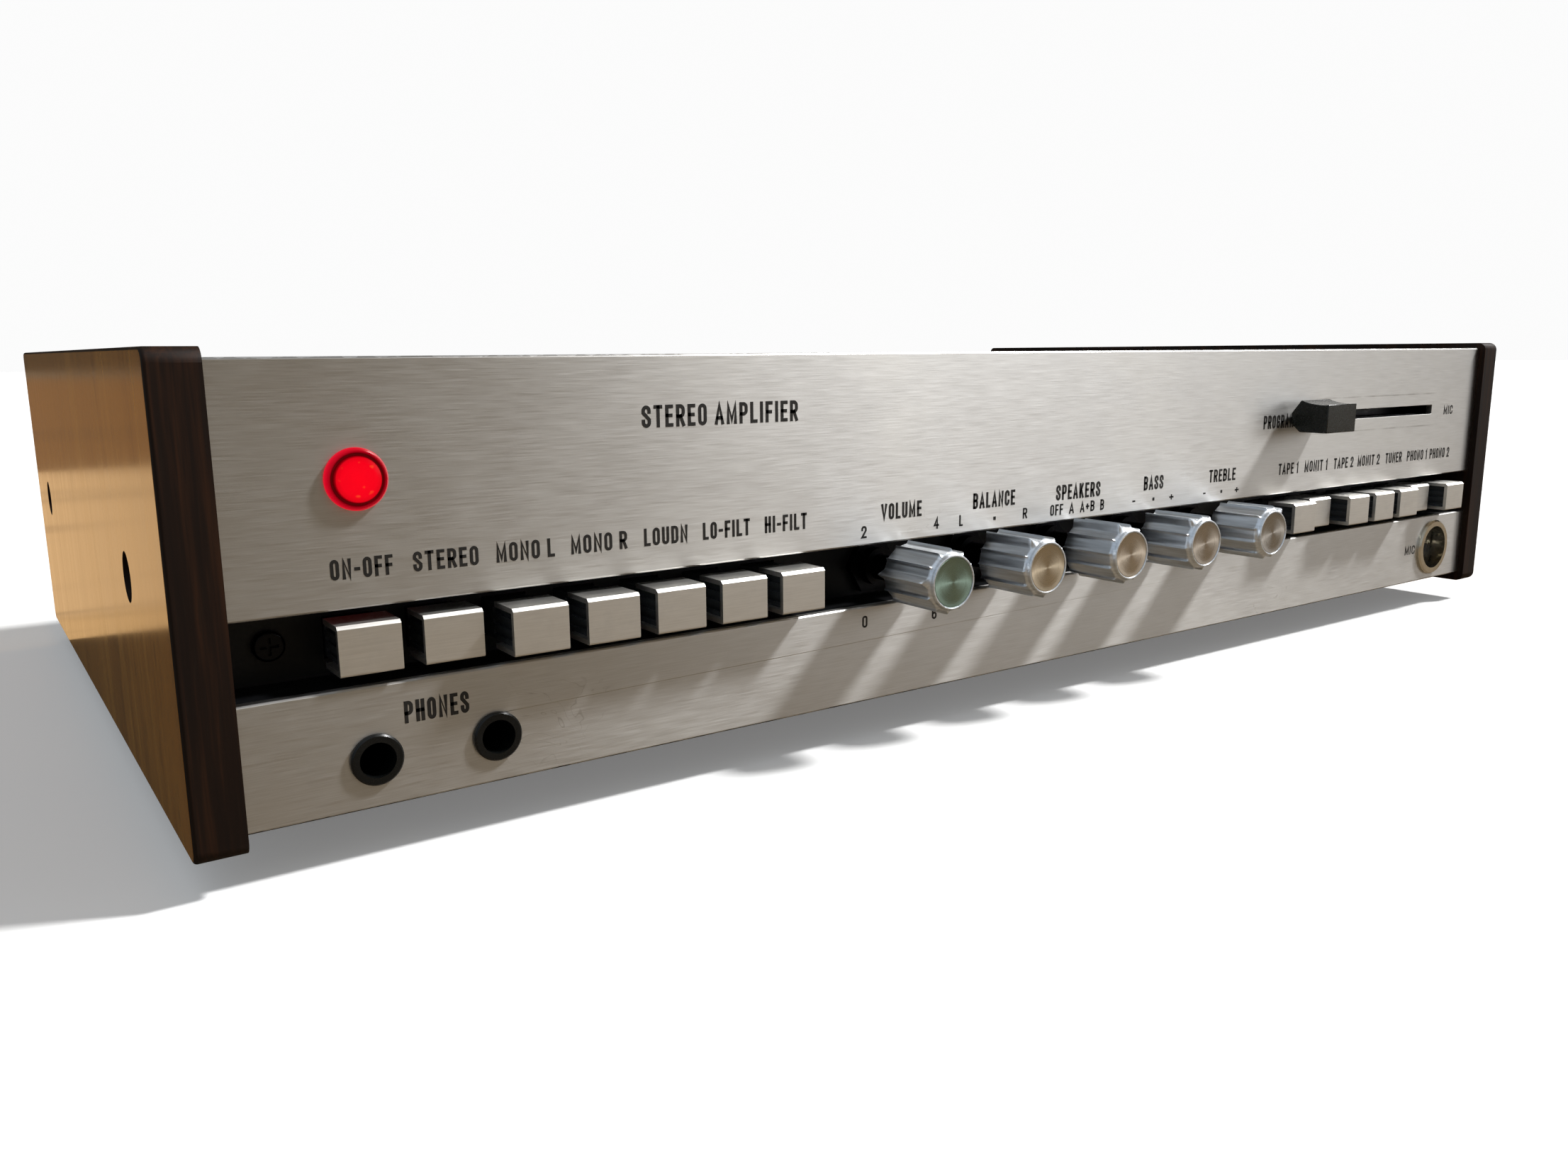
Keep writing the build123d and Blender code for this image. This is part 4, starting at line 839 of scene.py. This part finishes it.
def floor_paper():
    """Pale paper to the camera, and a tan surface to every other ray, which warms the shadows."""
    g = Graph("floor_paper")
    seen = g.make("ShaderNodeLightPath").outputs["Is Camera Ray"]
    paper = g.ramp(g.noise((3, 3, 3)), ((0.3, (0.86, 0.858, 0.85)), (0.7, (0.90, 0.898, 0.89))))
    g.join(g.mix(seen, (0, 0, 0), FLOOR_LIFT), g.shader.inputs["Emission Color"])
    g.shader.inputs["Emission Strength"].default_value = 1.0
    return g.finish(g.mix(seen, FLOOR_IN_REFLECTIONS, paper), 0.9, specular_ior_level=0.1)


floor = flat_stage("floor", -FLOOR_REACH, FLOOR_REACH, -FLOOR_REACH, FLOOR_REACH, 0)
floor.data.materials.append(floor_paper())


def glow_card(name, y0, y1, colour):
    """A warm card lying beside the set, seen only in reflections such as the lacquered veneer."""
    card = flat_stage(name, CARD_LEFT, CARD_RIGHT, y0, y1, CARD_LEVEL)
    card.visible_camera = False
    card.visible_diffuse = False
    card.visible_shadow = False
    g = Graph(name)
    streaks = g.range(g.noise((2, 14, 2), 3.0, 0.7), 0.30, 0.44, 0.45, 1.0)
    g.join(g.mix(streaks, (0, 0, 0), colour), g.shader.inputs["Emission Color"])
    g.shader.inputs["Emission Strength"].default_value = 1.0
    card.data.materials.append(g.finish(g.mix(streaks, (0.02, 0.02, 0.02), (0.03, 0.03, 0.03)), 0.9))


glow_card("card_near", 0.115, CARD_SPLIT, (1.02, 0.62, 0.27))
glow_card("card_far", CARD_SPLIT, 6.0, (0.26, 0.10, 0.006))

world = bpy.data.worlds.new("studio")
bpy.context.scene.world = world
world.use_nodes = True
tree = world.node_tree
background = next(n for n in tree.nodes if n.type == "BACKGROUND")
way = tree.nodes.new("ShaderNodeTexCoord").outputs["Generated"]
ROOM_LIGHT = (0.068, 0.055, 0.040)
SKY_TO_CAMERA = (0.97, 0.97, 0.97)
ROOM_LOBES = (
    # direction, cosine where it starts, colour
    ((0.1, -1.0, 0.1), 0.1, (0.080, 0.067, 0.044)),
    ((0.74, -0.67, 0.08), 0.91, (1.45, 1.50, 1.57)),
    ((-0.8, -0.35, 0.6), 0.35, (0.30, 0.37, 0.45)),
    ((-0.9, 0.45, 0.0), 0.75, (0.50, 0.56, 0.56)),
    ((0.0, 0.0, 1.0), 0.5, (0.20, 0.20, 0.20)),
)
total = None
for direction, start, colour in ROOM_LOBES:
    dot = tree.nodes.new("ShaderNodeVectorMath")
    dot.operation = "DOT_PRODUCT"
    tree.links.new(way, dot.inputs[0])
    dot.inputs[1].default_value = Vector(direction).normalized()
    share = tree.nodes.new("ShaderNodeMapRange")
    share.interpolation_type = "SMOOTHSTEP"
    share.inputs["From Min"].default_value = start
    tree.links.new(dot.outputs["Value"], share.inputs["Value"])
    add = tree.nodes.new("ShaderNodeMix")
    add.data_type, add.blend_type = "RGBA", "ADD"
    tree.links.new(share.outputs[0], add.inputs[0])
    add.inputs[6].default_value = (*ROOM_LIGHT, 1)
    add.inputs[7].default_value = (*colour, 1)
    if total is not None:
        tree.links.new(total, add.inputs[6])
    total = add.outputs[2]
tree.links.new(total, background.inputs["Color"])
sky = tree.nodes.new("ShaderNodeBackground")
sky.inputs["Color"].default_value = (*SKY_TO_CAMERA, 1)
either = tree.nodes.new("ShaderNodeMixShader")
tree.links.new(tree.nodes.new("ShaderNodeLightPath").outputs["Is Camera Ray"], either.inputs[0])
tree.links.new(background.outputs[0], either.inputs[1])
tree.links.new(sky.outputs[0], either.inputs[2])
output = next(n for n in tree.nodes if n.type == "OUTPUT_WORLD")
tree.links.new(either.outputs[0], output.inputs["Surface"])

KEY_DIRECTION = Vector((2.55, -1.0, 2.65))
KEY_STRENGTH = 4.3
KEY_SPREAD = 7                 # apparent size in degrees, which softens the shadows
sun_data = bpy.data.lights.new("key", "SUN")
sun_data.energy = KEY_STRENGTH
sun_data.color = (1.0, 1.0, 1.0)
sun_data.angle = math.radians(KEY_SPREAD)
sun = bpy.data.objects.new("key", sun_data)
bpy.context.scene.collection.objects.link(sun)
sun.rotation_mode = "QUATERNION"
sun.rotation_quaternion = (-KEY_DIRECTION).to_track_quat("-Z", "Y")

CAMERA_LENS = 27.664
CAMERA_FROM_CORNER = Vector((-36.391, -208.628, 79.325)) * MM     # from the front's lower left corner
CAMERA_TURN = (78.9553, 0.3976, -35.3794)
camera_data = bpy.data.cameras.new("camera")
camera_data.sensor_width = 36.0
camera_data.lens = CAMERA_LENS
camera_data.clip_start = 0.01
camera_data.clip_end = 50.0
camera = bpy.data.objects.new("camera", camera_data)
bpy.context.scene.collection.objects.link(camera)
camera.location = Vector((LEFT, FRONT, BASE)) + CAMERA_FROM_CORNER
camera.rotation_euler = Euler([math.radians(a) for a in CAMERA_TURN], "XYZ")
bpy.context.scene.camera = camera

bpy.context.scene.view_settings.view_transform = "Standard"

bpy.context.view_layer.update()
